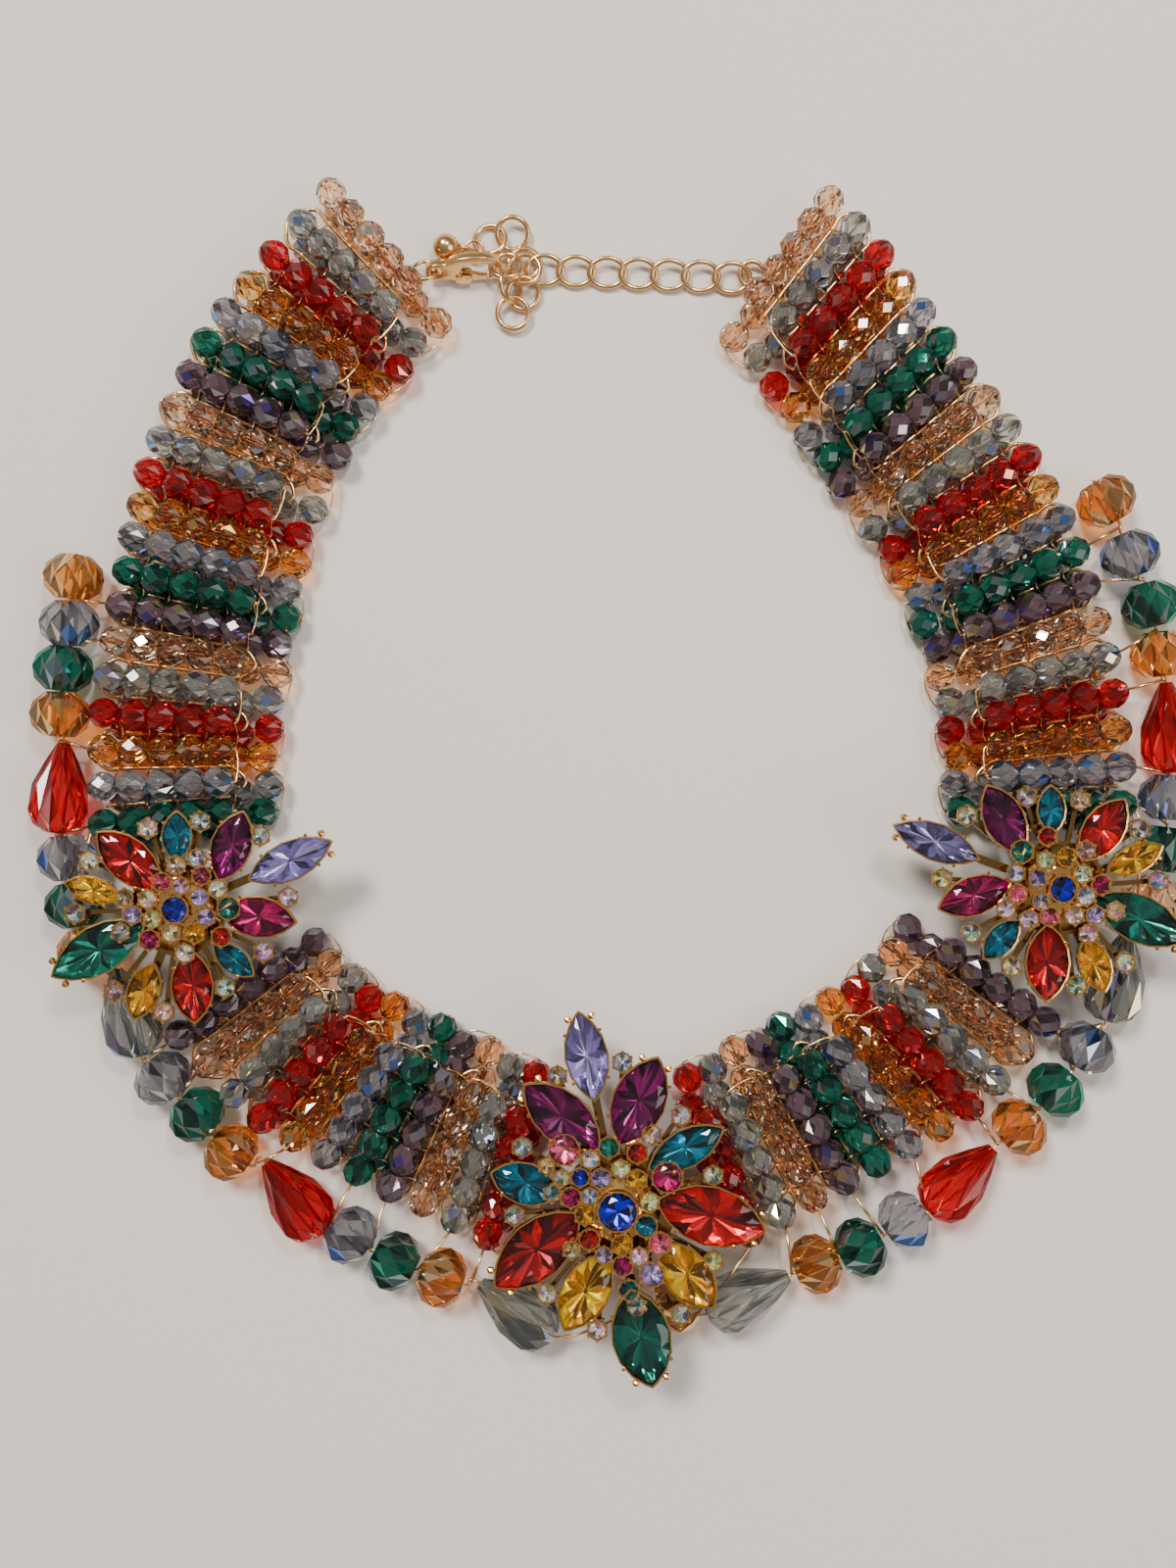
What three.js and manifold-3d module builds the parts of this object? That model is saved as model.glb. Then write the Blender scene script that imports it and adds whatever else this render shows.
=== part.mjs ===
// A bib necklace lying flat, as it is stored: a wide collar of faceted glass beads lashed in rows
// on a serpentine wire, three cast flowers set with stones, large glass drops round the outer edge,
// and a lobster clasp hooked into an extender chain.
// Millimetres. +Z is up from the table, +Y runs from the centre flower to the clasp.
import * as THREE from "three";
import { mergeVertices } from "three/addons/utils/BufferGeometryUtils.js";
import Module from "manifold-3d";

const wasm = await Module();
wasm.setup();

// ---- driving dimensions -------------------------------------------------------------------

const bead = { pitch: 5.55, radius: 2.75, neck: 0.8, halfWidth: 2.4 };
const row = { halfLength: 15, upperBeads: 5, lowerBeads: 5, lowerZ: 2.9, upperZ: 8.3 };
const innerBead = { reach: 14.7, stagger: 1.0 };
const frameWire = { radius: 0.5, z: 5.25, corner: 2.2, innerTurn: 12.1, outerTurn: 18.3 };
const longTurns = { reach: 19.0, lastRow: 11 };
const bend = { outer: 16.6, inner: { upper: 10.3, lower: 18.6 } };
const rondelle = { radius: 5.8, halfGirdle: 1.5, halfThickness: 4.1, face: 2.6 };
const teardrop = { radius: 6, length: 17.4, tip: 1.3 };
const flower = { plateZ: 12.1, plateRadius: 12, plateHeight: 1.3 };
const setting = { petalHeight: 3.2, cupHeight: 3.4, cupRadius: 1.85, armWidth: 2.2 };
const boss = { radius: 8.2, height: 4.6 };
const backPlate = { z: 4.6, thickness: 1.2, postRadius: 5, radius: 7.5 };
const link = { radius: 2.72, wire: 0.5, stretch: 1.27, pitch: 6.1, count: 7 };
const ball = { x: -32.6, y: 104.5, radius: 2.7, eyeRadius: 1.1, eyeWire: 0.3, eyeReach: 3.6 };

// The drawing's own zero sits at the middle of the neck opening.
// This moves the bounding box's middle to the origin.
const shift = { x: -0.16, y: -1.63 };

// ---- the rows of beads --------------------------------------------------------------------

// Colours repeat every seven rows. Lift is how much higher than the mean a row's top string sits.
const cycle = [
  { name: "champagne", colour: 0xd9b48a, lift: -0.4 },
  { name: "smoke", colour: 0x8f9088, lift: 0.3 },
  { name: "red", colour: 0xb0101c, lift: 0.5 },
  { name: "amber", colour: 0xc07a20, lift: -0.5 },
  { name: "steel", colour: 0x7f86a0, lift: 0.5 },
  { name: "green", colour: 0x0c5a43, lift: 0.1 },
  { name: "plum", colour: 0x4b3a48, lift: -0.3 },
];

// Where rows lie: away is the distance of the row's middle from the centre line, up is its Y,
// and slope is the row's direction from its outer to its inner end, in degrees.
const stations = {
  left: {
    side: -1,
    upper: [
      { row: 1, away: 44.2, up: 101.9, slope: -49 },
      { row: 3, away: 53.3, up: 91.4, slope: -39.6 },
      { row: 6, away: 64.7, up: 77.2, slope: -28.5 },
      { row: 10, away: 74.6, up: 54.2, slope: -20.5 },
      { row: 13, away: 78.4, up: 37.0, slope: -14.5 },
      { row: 17, away: 82.4, up: 12.6, slope: -4 },
      { row: 20, away: 82.6, up: -6.2, slope: 6 },
    ],
    lower: [
      { row: 21, away: 71.0, up: -39.3, slope: 36 },
      { row: 24, away: 57.5, up: -52.3, slope: 50 },
      { row: 27, away: 41.5, up: -60.8, slope: 61 },
      { row: 31, away: 20.0, up: -71.4, slope: 74.5 },
    ],
  },
  right: {
    side: 1,
    upper: [
      { row: 1, away: 32.2, up: 99.8, slope: -53 },
      { row: 3, away: 41.0, up: 89.7, slope: -49 },
      { row: 6, away: 51.8, up: 74.2, slope: -43.5 },
      { row: 10, away: 66.2, up: 54.2, slope: -32.5 },
      { row: 13, away: 74.3, up: 38.2, slope: -24.5 },
      { row: 17, away: 80.6, up: 14.4, slope: -11.5 },
      { row: 20, away: 82.0, up: -4.2, slope: -1 },
    ],
    lower: [
      { row: 21, away: 70.4, up: -36.6, slope: 36 },
      { row: 24, away: 57.6, up: -50.4, slope: 47.6 },
      { row: 27, away: 41.9, up: -59.7, slope: 56.5 },
      { row: 31, away: 20.6, up: -71.4, slope: 70 },
    ],
  },
};

// Panels of neighbouring rows: each is joined along its threads into one solid.
const panels = [
  { name: "beads_1", run: "upper", first: 1, last: 7 },
  { name: "beads_2", run: "upper", first: 8, last: 14 },
  { name: "beads_3", run: "upper", first: 15, last: 20 },
  { name: "beads_4", run: "lower", first: 21, last: 27 },
  { name: "beads_5", run: "lower", first: 28, last: 31 },
];

// ---- the large drops round the outer edge -------------------------------------------------

// Each is threaded along the edge: hole is the direction of its hole, in degrees. A tear's narrow end leads.
const drops = {
  left: [
    { x: -104.2, y: 39.8, hole: 84, form: "round", colour: "amber" },
    { x: -105.0, y: 30.9, hole: 87, form: "round", colour: "steel" },
    { x: -106.2, y: 22.2, hole: 84, form: "round", colour: "green" },
    { x: -106.8, y: 13.4, hole: 87, form: "round", colour: "amber" },
    { x: -106.6, y: -0.6, hole: 85, form: "tear", colour: "red" },
    { x: -105.4, y: -14.2, hole: 96, form: "round", colour: "steel" },
    { x: -104.0, y: -23.2, hole: 100, form: "round", colour: "green" },
    { x: -101.6, y: -32.0, hole: 106, form: "round", colour: "amber" },
    { x: -94.6, y: -43.8, hole: 106, form: "tear", colour: "smoke" },
    { x: -86.9, y: -56.8, hole: 128, form: "round", colour: "steel" },
    { x: -80.3, y: -63.7, hole: 136, form: "round", colour: "green" },
    { x: -73.8, y: -71.0, hole: 144, form: "round", colour: "amber" },
    { x: -62.6, y: -79.2, hole: 128, form: "tear", colour: "red" },
    { x: -50.9, y: -87.0, hole: 142, form: "round", colour: "steel" },
    { x: -42.4, y: -92.0, hole: 152, form: "round", colour: "green" },
    { x: -33.2, y: -95.2, hole: 162, form: "round", colour: "amber" },
    { x: -19.4, y: -100.6, hole: 144, form: "tear", colour: "smoke" },
  ],
  centre: [{ x: 12.4, y: -99.8, hole: 4, form: "round", colour: "amber" }],
  right: [
    { x: 95.0, y: 54.6, hole: 122, form: "round", colour: "amber" },
    { x: 99.6, y: 44.2, hole: 112, form: "round", colour: "steel" },
    { x: 103.6, y: 34.6, hole: 104, form: "round", colour: "green" },
    { x: 105.4, y: 25.0, hole: 96, form: "round", colour: "amber" },
    { x: 107.0, y: 11.0, hole: 94, form: "tear", colour: "red" },
    { x: 107.0, y: -2.6, hole: 86, form: "round", colour: "steel" },
    { x: 106.2, y: -12.6, hole: 82, form: "round", colour: "green" },
    { x: 104.4, y: -22.4, hole: 76, form: "round", colour: "champagne" },
    { x: 98.0, y: -37.0, hole: 76, form: "tear", colour: "smoke" },
    { x: 91.2, y: -50.8, hole: 60, form: "round", colour: "steel" },
    { x: 85.2, y: -59.0, hole: 48, form: "round", colour: "green" },
    { x: 78.2, y: -66.2, hole: 40, form: "round", colour: "amber" },
    { x: 67.8, y: -75.6, hole: 44, form: "tear", colour: "red" },
    { x: 56.2, y: -84.2, hole: 36, form: "round", colour: "steel" },
    { x: 47.6, y: -89.4, hole: 28, form: "round", colour: "green" },
    { x: 39.0, y: -92.6, hole: 22, form: "round", colour: "amber" },
    { x: 26.4, y: -97.5, hole: 25, form: "tear", colour: "smoke" },
  ],
};

// ---- the flowers --------------------------------------------------------------------------

// Petals: the stone's middle from the flower's own middle, its direction in degrees, and its size.
const sidePetals = [
  { x: -8.6, y: 8.9, turn: 140, length: 16.0, width: 7.6 },
  { x: 0.1, y: 13.6, turn: 90, length: 10.2, width: 6.0 },
  { x: 9.4, y: 11.6, turn: 67, length: 14.2, width: 7.8 },
  { x: 20.9, y: 8.9, turn: 26, length: 17.6, width: 7.6 },
  { x: 15.4, y: -1.3, turn: -11, length: 15.2, width: 7.8 },
  { x: 10.5, y: -9.5, turn: -38, length: 10.4, width: 5.2 },
  { x: 2.7, y: -14.2, turn: -86, length: 14.2, width: 7.8 },
  { x: -5.9, y: -14.8, turn: -111, length: 11.4, width: 6.2 },
  { x: -14.1, y: -7.5, turn: 210.6, length: 21.0, width: 9.0 },
  { x: -15.4, y: 3.4, turn: 164, length: 11.2, width: 5.6 },
];
const centrePetals = [
  { x: -5.6, y: 27.0, turn: 101, length: 17.4, width: 8.2 },
  { x: 3.9, y: 19.4, turn: 68, length: 17.7, width: 10.2 },
  { x: -10.1, y: 17.0, turn: 138, length: 18.2, width: 9.5 },
  { x: 12.5, y: 11.0, turn: 29, length: 15.6, width: 7.1 },
  { x: -16.8, y: 4.9, turn: 162, length: 14.4, width: 7.9 },
  { x: 17.2, y: -1.1, turn: -14, length: 20.9, width: 11.2 },
  { x: -14.7, y: -7.3, turn: 221, length: 20.6, width: 10.2 },
  { x: -5.9, y: -14.9, turn: 242, length: 16.4, width: 9.0 },
  { x: 12.7, y: -12.0, turn: -52, length: 15.0, width: 8.3 },
  { x: 4.4, y: -22.6, turn: -76, length: 19.3, width: 11.2 },
];
// The small round cups between the petals' ends.
const sideCups = [
  { x: -5.2, y: 15.2 },
  { x: 4.3, y: 16.8 },
  { x: 15.3, y: 13.6 },
  { x: 21.4, y: 2.4 },
  { x: 15.9, y: -8.0 },
  { x: 8.9, y: -14.5 },
  { x: -2.2, y: -19.0 },
  { x: -11.7, y: -15.4 },
  { x: -19.6, y: -0.6 },
  { x: -16.6, y: 9.2 },
];
const centreCups = [
  { x: -11.8, y: 25.0 },
  { x: 0.8, y: 28.0 },
  { x: 11.6, y: 17.9 },
  { x: 19.2, y: 6.6 },
  { x: 18.6, y: -9.2 },
  { x: 12.0, y: -19.2 },
  { x: -3.4, y: -22.4 },
  { x: -13.2, y: -15.6 },
  { x: -19.0, y: -0.9 },
  { x: -18.0, y: 11.5 },
];
const flowers = [
  { name: "flower_left", x: -82.0, y: -23.4, mirror: 1, petals: sidePetals, cups: sideCups },
  { name: "flower_centre", x: 0.6, y: -79.8, mirror: 1, petals: centrePetals, cups: centreCups },
  { name: "flower_right", x: 83.6, y: -19.6, mirror: -1, petals: sidePetals, cups: sideCups },
];

// ---- the clasp and chain ------------------------------------------------------------------

// The chain past the hooked ring doubles back under it and ends in the ball. Each ring is turned about
// the vertical and then tipped, in degrees.
const tailRings = [
  { x: -20.0, y: 97.0, z: 3.0, radius: 3.05, wire: 0.55, turn: 86, tip: 55 },
  { x: -19.6, y: 92.0, z: 1.7, radius: 3.05, wire: 0.55, turn: 0, tip: 6 },
  { x: -17.6, y: 96.0, z: 1.3, radius: 3.05, wire: 0.55, turn: 20, tip: 10 },
  { x: -17.4, y: 101.8, z: 1.3, radius: 3.05, wire: 0.55, turn: 0, tip: -6 },
  { x: -19.7, y: 107.6, z: 1.6, radius: 3.05, wire: 0.55, turn: 0, tip: 16 },
  { x: -24.1, y: 106.4, z: 1.6, radius: 3.05, wire: 0.55, turn: 30, tip: -16 },
  { x: -27.2, y: 104.4, z: 1.6, radius: 1.75, wire: 0.35, turn: 0, tip: 6 },
];
// The ring next to the hooked one, the plain stretch from there, and the smaller ring at the right end.
const slackRing = { x: -17.3, y: 100.4, z: 2.4, radius: 3.05, wire: 0.55, turn: 0, tip: -10 };
const chainStart = { x: -13.4, y: 100.5, z: 1.5, tip: 14, fall: 0.25 };
const endRing = { x: 27.1, y: 99.7, z: 1.5, radius: 2.4, wire: 0.55, turn: 0, tip: 8 };
// The clasp's own zero is the middle of its eye, and its own X runs to its nose.
const clasp = { x: -34.45, y: 99.95, z: 3.45, turn: 4, tip: 62, halfThickness: 0.95, eyeHole: 1.15 };
const claspRing = { radius: 2.3, wire: 0.38 };
const hooked = { along: 13.58, across: -0.25, radius: 3.05, wire: 0.55 };
const lever = { pivotX: 5.95, pivotY: -1.95, heelRadius: 1.05, pinHole: 0.65, halfThickness: 0.5 };
const hingePin = { radius: 0.28 };
const cheek = { inner: 0.85, outer: 1.35 };

// ---- helpers ------------------------------------------------------------------------------

const radians = THREE.MathUtils.degToRad;
const up = new THREE.Vector3(0, 0, 1);

// A geometry, once placed, as a solid that can be joined and cut.
function solid(geometry, matrix = new THREE.Matrix4()) {
  const placed = geometry.index ? geometry.toNonIndexed() : geometry.clone();
  placed.deleteAttribute("normal");
  placed.deleteAttribute("uv");
  placed.applyMatrix4(matrix);
  const merged = mergeVertices(placed, 1e-4);
  return new wasm.Manifold(
    new wasm.Mesh({
      numProp: 3,
      vertProperties: merged.attributes.position.array,
      triVerts: new Uint32Array(merged.index.array),
    }),
  );
}

// A joined solid as a geometry again.
function geometryOf(joined) {
  const mesh = joined.getMesh();
  const geometry = new THREE.BufferGeometry();
  geometry.setAttribute("position", new THREE.BufferAttribute(mesh.vertProperties, 3));
  geometry.setIndex(new THREE.BufferAttribute(mesh.triVerts, 1));
  geometry.computeVertexNormals();
  return geometry;
}

function join(solids) {
  return solids.reduce((all, one) => all.add(one));
}

function material(colour, roughness, metalness) {
  return new THREE.MeshStandardMaterial({ color: colour, roughness, metalness, flatShading: true });
}

const gold = material(0xc9a063, 0.28, 1);
const glassOf = Object.fromEntries(cycle.map((c) => [c.name, material(c.colour, 0.08, 0)]));
const stoneGlass = material(0x8a1a2a, 0.06, 0.1);

// A path that turns at exactly its own points, so that a wire's straights take one step each.
class WirePath extends THREE.Curve {
  constructor(points) {
    super();
    this.points = points;
  }
  getPoint(t) {
    const at = Math.min(Math.max(t, 0), 1) * (this.points.length - 1);
    const i = Math.min(Math.floor(at), this.points.length - 2);
    return new THREE.Vector3().lerpVectors(this.points[i], this.points[i + 1], at - i);
  }
  getUtoTmapping(u) {
    return u;
  }
}

function wireGeometry(points, radius) {
  const corners = [new THREE.Vector2(radius, 0), new THREE.Vector2(0, radius)];
  const section = new THREE.Shape([...corners, ...corners.map((corner) => corner.clone().negate())]);
  return new THREE.ExtrudeGeometry(section, { steps: points.length - 1, extrudePath: new WirePath(points) });
}

// ---- rows ---------------------------------------------------------------------------------

// A station's value at any row number, on a smooth curve through the stations.
function between(run, n, key) {
  const i = Math.min(Math.max(run.findIndex((s) => s.row > n) - 1, 0), run.length - 2);
  const k = run[run.length - 1].row <= n ? run.length - 2 : i;
  const slopeAt = (j) => {
    const a = run[Math.max(j - 1, 0)];
    const b = run[Math.min(j + 1, run.length - 1)];
    return (b[key] - a[key]) / (b.row - a.row);
  };
  const [a, b] = [run[k], run[k + 1]];
  const span = b.row - a.row;
  const t = (n - a.row) / span;
  return (
    a[key] * (1 + 2 * t) * (1 - t) ** 2 +
    b[key] * t * t * (3 - 2 * t) +
    slopeAt(k) * span * t * (1 - t) ** 2 -
    slopeAt(k + 1) * span * t * t * (1 - t)
  );
}

// A row's middle and its direction from the outer to the inner end.
function rowAt(arm, run, n) {
  const slope = radians(between(arm[run], n, "slope"));
  return {
    middle: new THREE.Vector3(
      arm.side * between(arm[run], n, "away") + shift.x,
      between(arm[run], n, "up") + shift.y,
      0,
    ),
    inward: new THREE.Vector3(-arm.side * Math.cos(slope), Math.sin(slope), 0),
    colour: cycle[(n - 1) % cycle.length],
  };
}

function pointOn(placed, distance, z) {
  return placed.middle.clone().addScaledVector(placed.inward, distance).setZ(z);
}

function upperDistances() {
  return Array.from({ length: row.upperBeads }, (_, i) => -row.halfLength + i * bead.pitch);
}

function lowerDistances(n) {
  const under = Array.from({ length: row.lowerBeads }, (_, i) => -row.halfLength + (i + 0.45) * bead.pitch);
  return [...under, innerBead.reach + (n % 2 ? innerBead.stagger : 0)];
}

// A string of beads from its outer to its inner end: a full section at each bead's girdle
// and a thin one between.
function beadString(placed, distances, z, halfWidth) {
  const neck = (distance) => ({ at: pointOn(placed, distance, z), width: bead.neck, height: bead.neck });
  return distances.flatMap((distance, i) => {
    const before = i > 0 ? distance - distances[i - 1] : 0;
    const necks = i > 0 ? [neck(distance - bead.pitch / 2)] : [];
    if (before > 1.2 * bead.pitch) necks.unshift(neck(distances[i - 1] + bead.pitch / 2));
    return [...necks, { at: pointOn(placed, distance, z), width: halfWidth, height: bead.radius }];
  });
}

// One row's sections: the top string out, round the row's outer end, and the lower string back in.
function rowSections(arm, run, n) {
  const placed = rowAt(arm, run, n);
  const topZ = row.upperZ + placed.colour.lift;
  const turnAt = pointOn(placed, -bend.outer, (topZ + row.lowerZ) / 2);
  return [
    ...beadString(placed, upperDistances(), topZ, bead.radius).reverse(),
    { at: turnAt, width: bead.neck, height: bead.neck },
    ...beadString(placed, lowerDistances(n), row.lowerZ, bead.halfWidth),
  ];
}

// The thin section where the thread passes from one row to the next, past their inner ends.
function crossing(arm, run, n, level) {
  const [here, next] = [rowAt(arm, run, n), rowAt(arm, run, n + 1)];
  const z = level === "upper" ? row.upperZ + (here.colour.lift + next.colour.lift) / 2 : row.lowerZ;
  const at = pointOn(here, bend.inner[level], z).lerp(pointOn(next, bend.inner[level], z), 0.5);
  return { at, width: bead.neck, height: bead.neck };
}

// A closed tube of four-cornered sections, with two corners level and two upright wherever it runs level.
function threadGeometry(sections, across) {
  const middles = sections.map((section) => section.at);
  const directions = middles.map((at, i) =>
    new THREE.Vector3()
      .subVectors(middles[Math.min(i + 1, middles.length - 1)], middles[Math.max(i - 1, 0)])
      .normalize(),
  );
  const side = across.clone();
  const turn = new THREE.Quaternion();
  const corners = [];
  sections.forEach(({ at, width, height }, i) => {
    if (i > 0) side.applyQuaternion(turn.setFromUnitVectors(directions[i - 1], directions[i]));
    const level = new THREE.Vector3().crossVectors(directions[i], up);
    if (level.length() > 0.7) side.copy(level.multiplyScalar(Math.sign(level.dot(side))).normalize());
    const rise = new THREE.Vector3().crossVectors(directions[i], side);
    for (const [w, h] of [[1, 0], [0, 1], [-1, 0], [0, -1]])
      corners.push(at.clone().addScaledVector(side, w * width).addScaledVector(rise, h * height));
  });
  const faces = [0, 2, 1, 0, 3, 2];
  for (let i = 0; i < 4 * (sections.length - 1); i++) {
    const nextCorner = i % 4 === 3 ? i - 3 : i + 1;
    faces.push(i, nextCorner, nextCorner + 4, i, nextCorner + 4, i + 4);
  }
  const last = 4 * (sections.length - 1);
  faces.push(last, last + 1, last + 2, last, last + 2, last + 3);
  const geometry = new THREE.BufferGeometry().setFromPoints(corners);
  geometry.setIndex(faces);
  geometry.computeVertexNormals();
  return geometry;
}

// A panel's rows strung on one thread that goes out along one row and back along the next.
function panelGeometry(arm, panel) {
  const sections = [];
  for (let n = panel.first; n <= panel.last; n++) {
    const inOrder = (n - panel.first) % 2 === 0;
    const own = rowSections(arm, panel.run, n);
    sections.push(...(inOrder ? own : own.reverse()));
    if (n < panel.last) sections.push(crossing(arm, panel.run, n, inOrder ? "lower" : "upper"));
  }
  const outward = rowAt(arm, panel.run, panel.first).inward.clone().negate();
  return threadGeometry(sections, new THREE.Vector3().crossVectors(outward, up));
}

// The wire that carries the rows: it passes between each pair and turns round the ends of every other row.
function frameGeometry(arm, run) {
  const first = arm[run][0].row;
  const last = arm[run][arm[run].length - 1].row;
  const points = [];
  for (let n = first; n < last; n++) {
    const turn = n <= longTurns.lastRow ? longTurns.reach : frameWire.outerTurn;
    const [here, next] = [rowAt(arm, run, n), rowAt(arm, run, n + 1)];
    const alongBoundary = (distance) =>
      pointOn(here, distance, frameWire.z).lerp(pointOn(next, distance, frameWire.z), 0.5);
    const outer = [alongBoundary(-turn + frameWire.corner), pointOn(next, -turn, frameWire.z)];
    const inner = [
      alongBoundary(frameWire.innerTurn - frameWire.corner),
      pointOn(next, frameWire.innerTurn, frameWire.z),
    ];
    const outward = (n - first) % 2 === 0;
    points.push(...(outward ? [inner[0], outer[0]] : [outer[0], inner[0]]));
    if (n < last - 1) points.push(outward ? outer[1] : inner[1]);
  }
  return wireGeometry(points, frameWire.radius);
}

// ---- drops --------------------------------------------------------------------------------

// A turned shape lying on one of its flat sides, with its axis along the hole.
function lyingGeometry(profile, sides, radius) {
  const geometry = new THREE.LatheGeometry(profile, sides, Math.PI / sides);
  geometry.rotateZ(-Math.PI / 2);
  geometry.translate(0, 0, radius * Math.cos(Math.PI / sides));
  return geometry;
}

function rondelleGeometry() {
  const r = rondelle;
  const profile = [
    [0, -r.halfThickness],
    [r.face, -r.halfThickness],
    [r.radius, -r.halfGirdle],
    [r.radius, r.halfGirdle],
    [r.face, r.halfThickness],
    [0, r.halfThickness],
  ];
  return lyingGeometry(profile.map(([x, y]) => new THREE.Vector2(x, y)), 8, r.radius);
}

function teardropGeometry() {
  const t = teardrop;
  const half = t.length / 2;
  const profile = [
    [0, -half],
    [t.radius * 0.62, -half],
    [t.radius, -half * 0.55],
    [t.radius, -half * 0.2],
    [t.radius * 0.6, half * 0.5],
    [t.tip, half],
    [0, half],
  ];
  return lyingGeometry(profile.map(([x, y]) => new THREE.Vector2(x, y)), 8, t.radius);
}

function dropMesh(name, drop) {
  const geometry = drop.form === "tear" ? teardropGeometry() : rondelleGeometry();
  const mesh = new THREE.Mesh(geometry, glassOf[drop.colour]);
  mesh.name = name;
  mesh.position.set(drop.x + shift.x, drop.y + shift.y, 0);
  mesh.rotation.z = radians(drop.hole);
  return mesh;
}

// ---- flowers ------------------------------------------------------------------------------

// A boat-shaped outline, pointed at both ends, as two arcs.
function petalShape(length, width) {
  const steps = 3;
  const side = (sign) =>
    Array.from({ length: steps }, (_, i) => {
      const a = -Math.PI / 2 + (i * Math.PI) / steps;
      return new THREE.Vector2((length / 2) * Math.sin(a) * sign, (width / 2) * Math.cos(a) ** 1.2 * -sign);
    });
  return new THREE.Shape([...side(1), ...side(-1)]);
}

function petalSolid(petal) {
  const geometry = new THREE.ExtrudeGeometry(petalShape(petal.length, petal.width), {
    depth: setting.petalHeight,
    bevelEnabled: false,
  });
  geometry.rotateZ(radians(petal.turn)).translate(petal.x, petal.y, 0);
  return solid(geometry);
}

function standsOffPlate(petal) {
  return Math.hypot(petal.x, petal.y) - petal.length / 2 > flower.plateRadius - 2;
}

// The cast arm that carries a cup or an outlying petal past the rim of the plate.
function armSolid(item) {
  const length = Math.hypot(item.x, item.y) - flower.plateRadius / 2;
  const geometry = new THREE.BoxGeometry(length, setting.armWidth, flower.plateHeight);
  geometry.translate((length + flower.plateRadius) / 2, 0, flower.plateHeight / 2);
  return solid(geometry.rotateZ(Math.atan2(item.y, item.x)));
}

function plateSolid() {
  const geometry = new THREE.CylinderGeometry(flower.plateRadius, flower.plateRadius, flower.plateHeight, 10);
  return solid(geometry.rotateX(Math.PI / 2).translate(0, 0, flower.plateHeight / 2));
}

function cupSolid(cup) {
  const geometry = new THREE.CylinderGeometry(setting.cupRadius, setting.cupRadius, setting.cupHeight, 6);
  geometry.rotateX(Math.PI / 2).translate(cup.x, cup.y, setting.cupHeight / 2);
  return solid(geometry);
}

// The raised middle that the small stones are set in.
function bossSolid() {
  const profile = [
    [0, 0],
    [boss.radius, 0],
    [boss.radius, 2.4],
    [boss.radius * 0.6, boss.height],
    [0, boss.height + 0.6],
  ];
  const geometry = new THREE.LatheGeometry(profile.map(([x, y]) => new THREE.Vector2(x, y)), 10);
  return solid(geometry.rotateX(Math.PI / 2));
}

// The post and plate under the flower, which the neighbouring rows' wires are tied to.
function backSolid() {
  const drop = flower.plateZ - backPlate.z;
  const post = new THREE.CylinderGeometry(backPlate.postRadius, backPlate.postRadius, drop, 8);
  post.rotateX(Math.PI / 2).translate(0, 0, -drop / 2 + 0.2);
  const plate = new THREE.CylinderGeometry(backPlate.radius, backPlate.radius, backPlate.thickness, 8);
  plate.rotateX(Math.PI / 2).translate(0, 0, -drop + backPlate.thickness / 2);
  return solid(post).add(solid(plate));
}

function flowerMesh(f) {
  const parts = [
    bossSolid(),
    backSolid(),
    ...f.petals.map(petalSolid),
    ...f.cups.map(cupSolid),
    plateSolid(),
    ...[...f.cups, ...f.petals.filter(standsOffPlate)].map(armSolid),
  ];
  const whole = f.mirror < 0 ? join(parts).mirror([1, 0, 0]) : join(parts);
  const mesh = new THREE.Mesh(geometryOf(whole), stoneGlass);
  mesh.name = f.name;
  mesh.position.set(f.x + shift.x, f.y + shift.y, flower.plateZ);
  return mesh;
}

// ---- clasp and chain ----------------------------------------------------------------------

const claspMatrix = new THREE.Matrix4()
  .makeTranslation(clasp.x + shift.x, clasp.y + shift.y, clasp.z)
  .multiply(new THREE.Matrix4().makeRotationZ(radians(clasp.turn)))
  .multiply(new THREE.Matrix4().makeRotationX(radians(clasp.tip)));

// An outline in the clasp's own plane, filled between two heights.
function claspPlate(points, holes, low, high) {
  const shape = new THREE.Shape(points.map(([x, y]) => new THREE.Vector2(x, y)));
  shape.holes = holes;
  const options = { depth: high - low, bevelEnabled: false, curveSegments: 4 };
  return new THREE.ExtrudeGeometry(shape, options).translate(0, 0, low);
}

function roundHole(x, y, radius) {
  const hole = new THREE.Path();
  hole.absarc(x, y, radius, 0, 2 * Math.PI, true);
  return hole;
}

// The two cheeks beside the lever's heel, and the pin between them.
function hingeSolid() {
  const outline = [
    [3.6, -2.5],
    [6.0, -2.9],
    [6.8, -2.3],
    [6.8, -1.6],
    [6.0, -1.1],
    [3.6, -1.2],
  ];
  const pin = new THREE.CylinderGeometry(hingePin.radius, hingePin.radius, 2 * cheek.outer, 6);
  pin.rotateX(Math.PI / 2).translate(lever.pivotX, lever.pivotY, 0);
  return join([
    solid(claspPlate(outline, [], cheek.inner, cheek.outer)),
    solid(claspPlate(outline, [], -cheek.outer, -cheek.inner)),
    solid(pin),
  ]);
}

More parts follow.
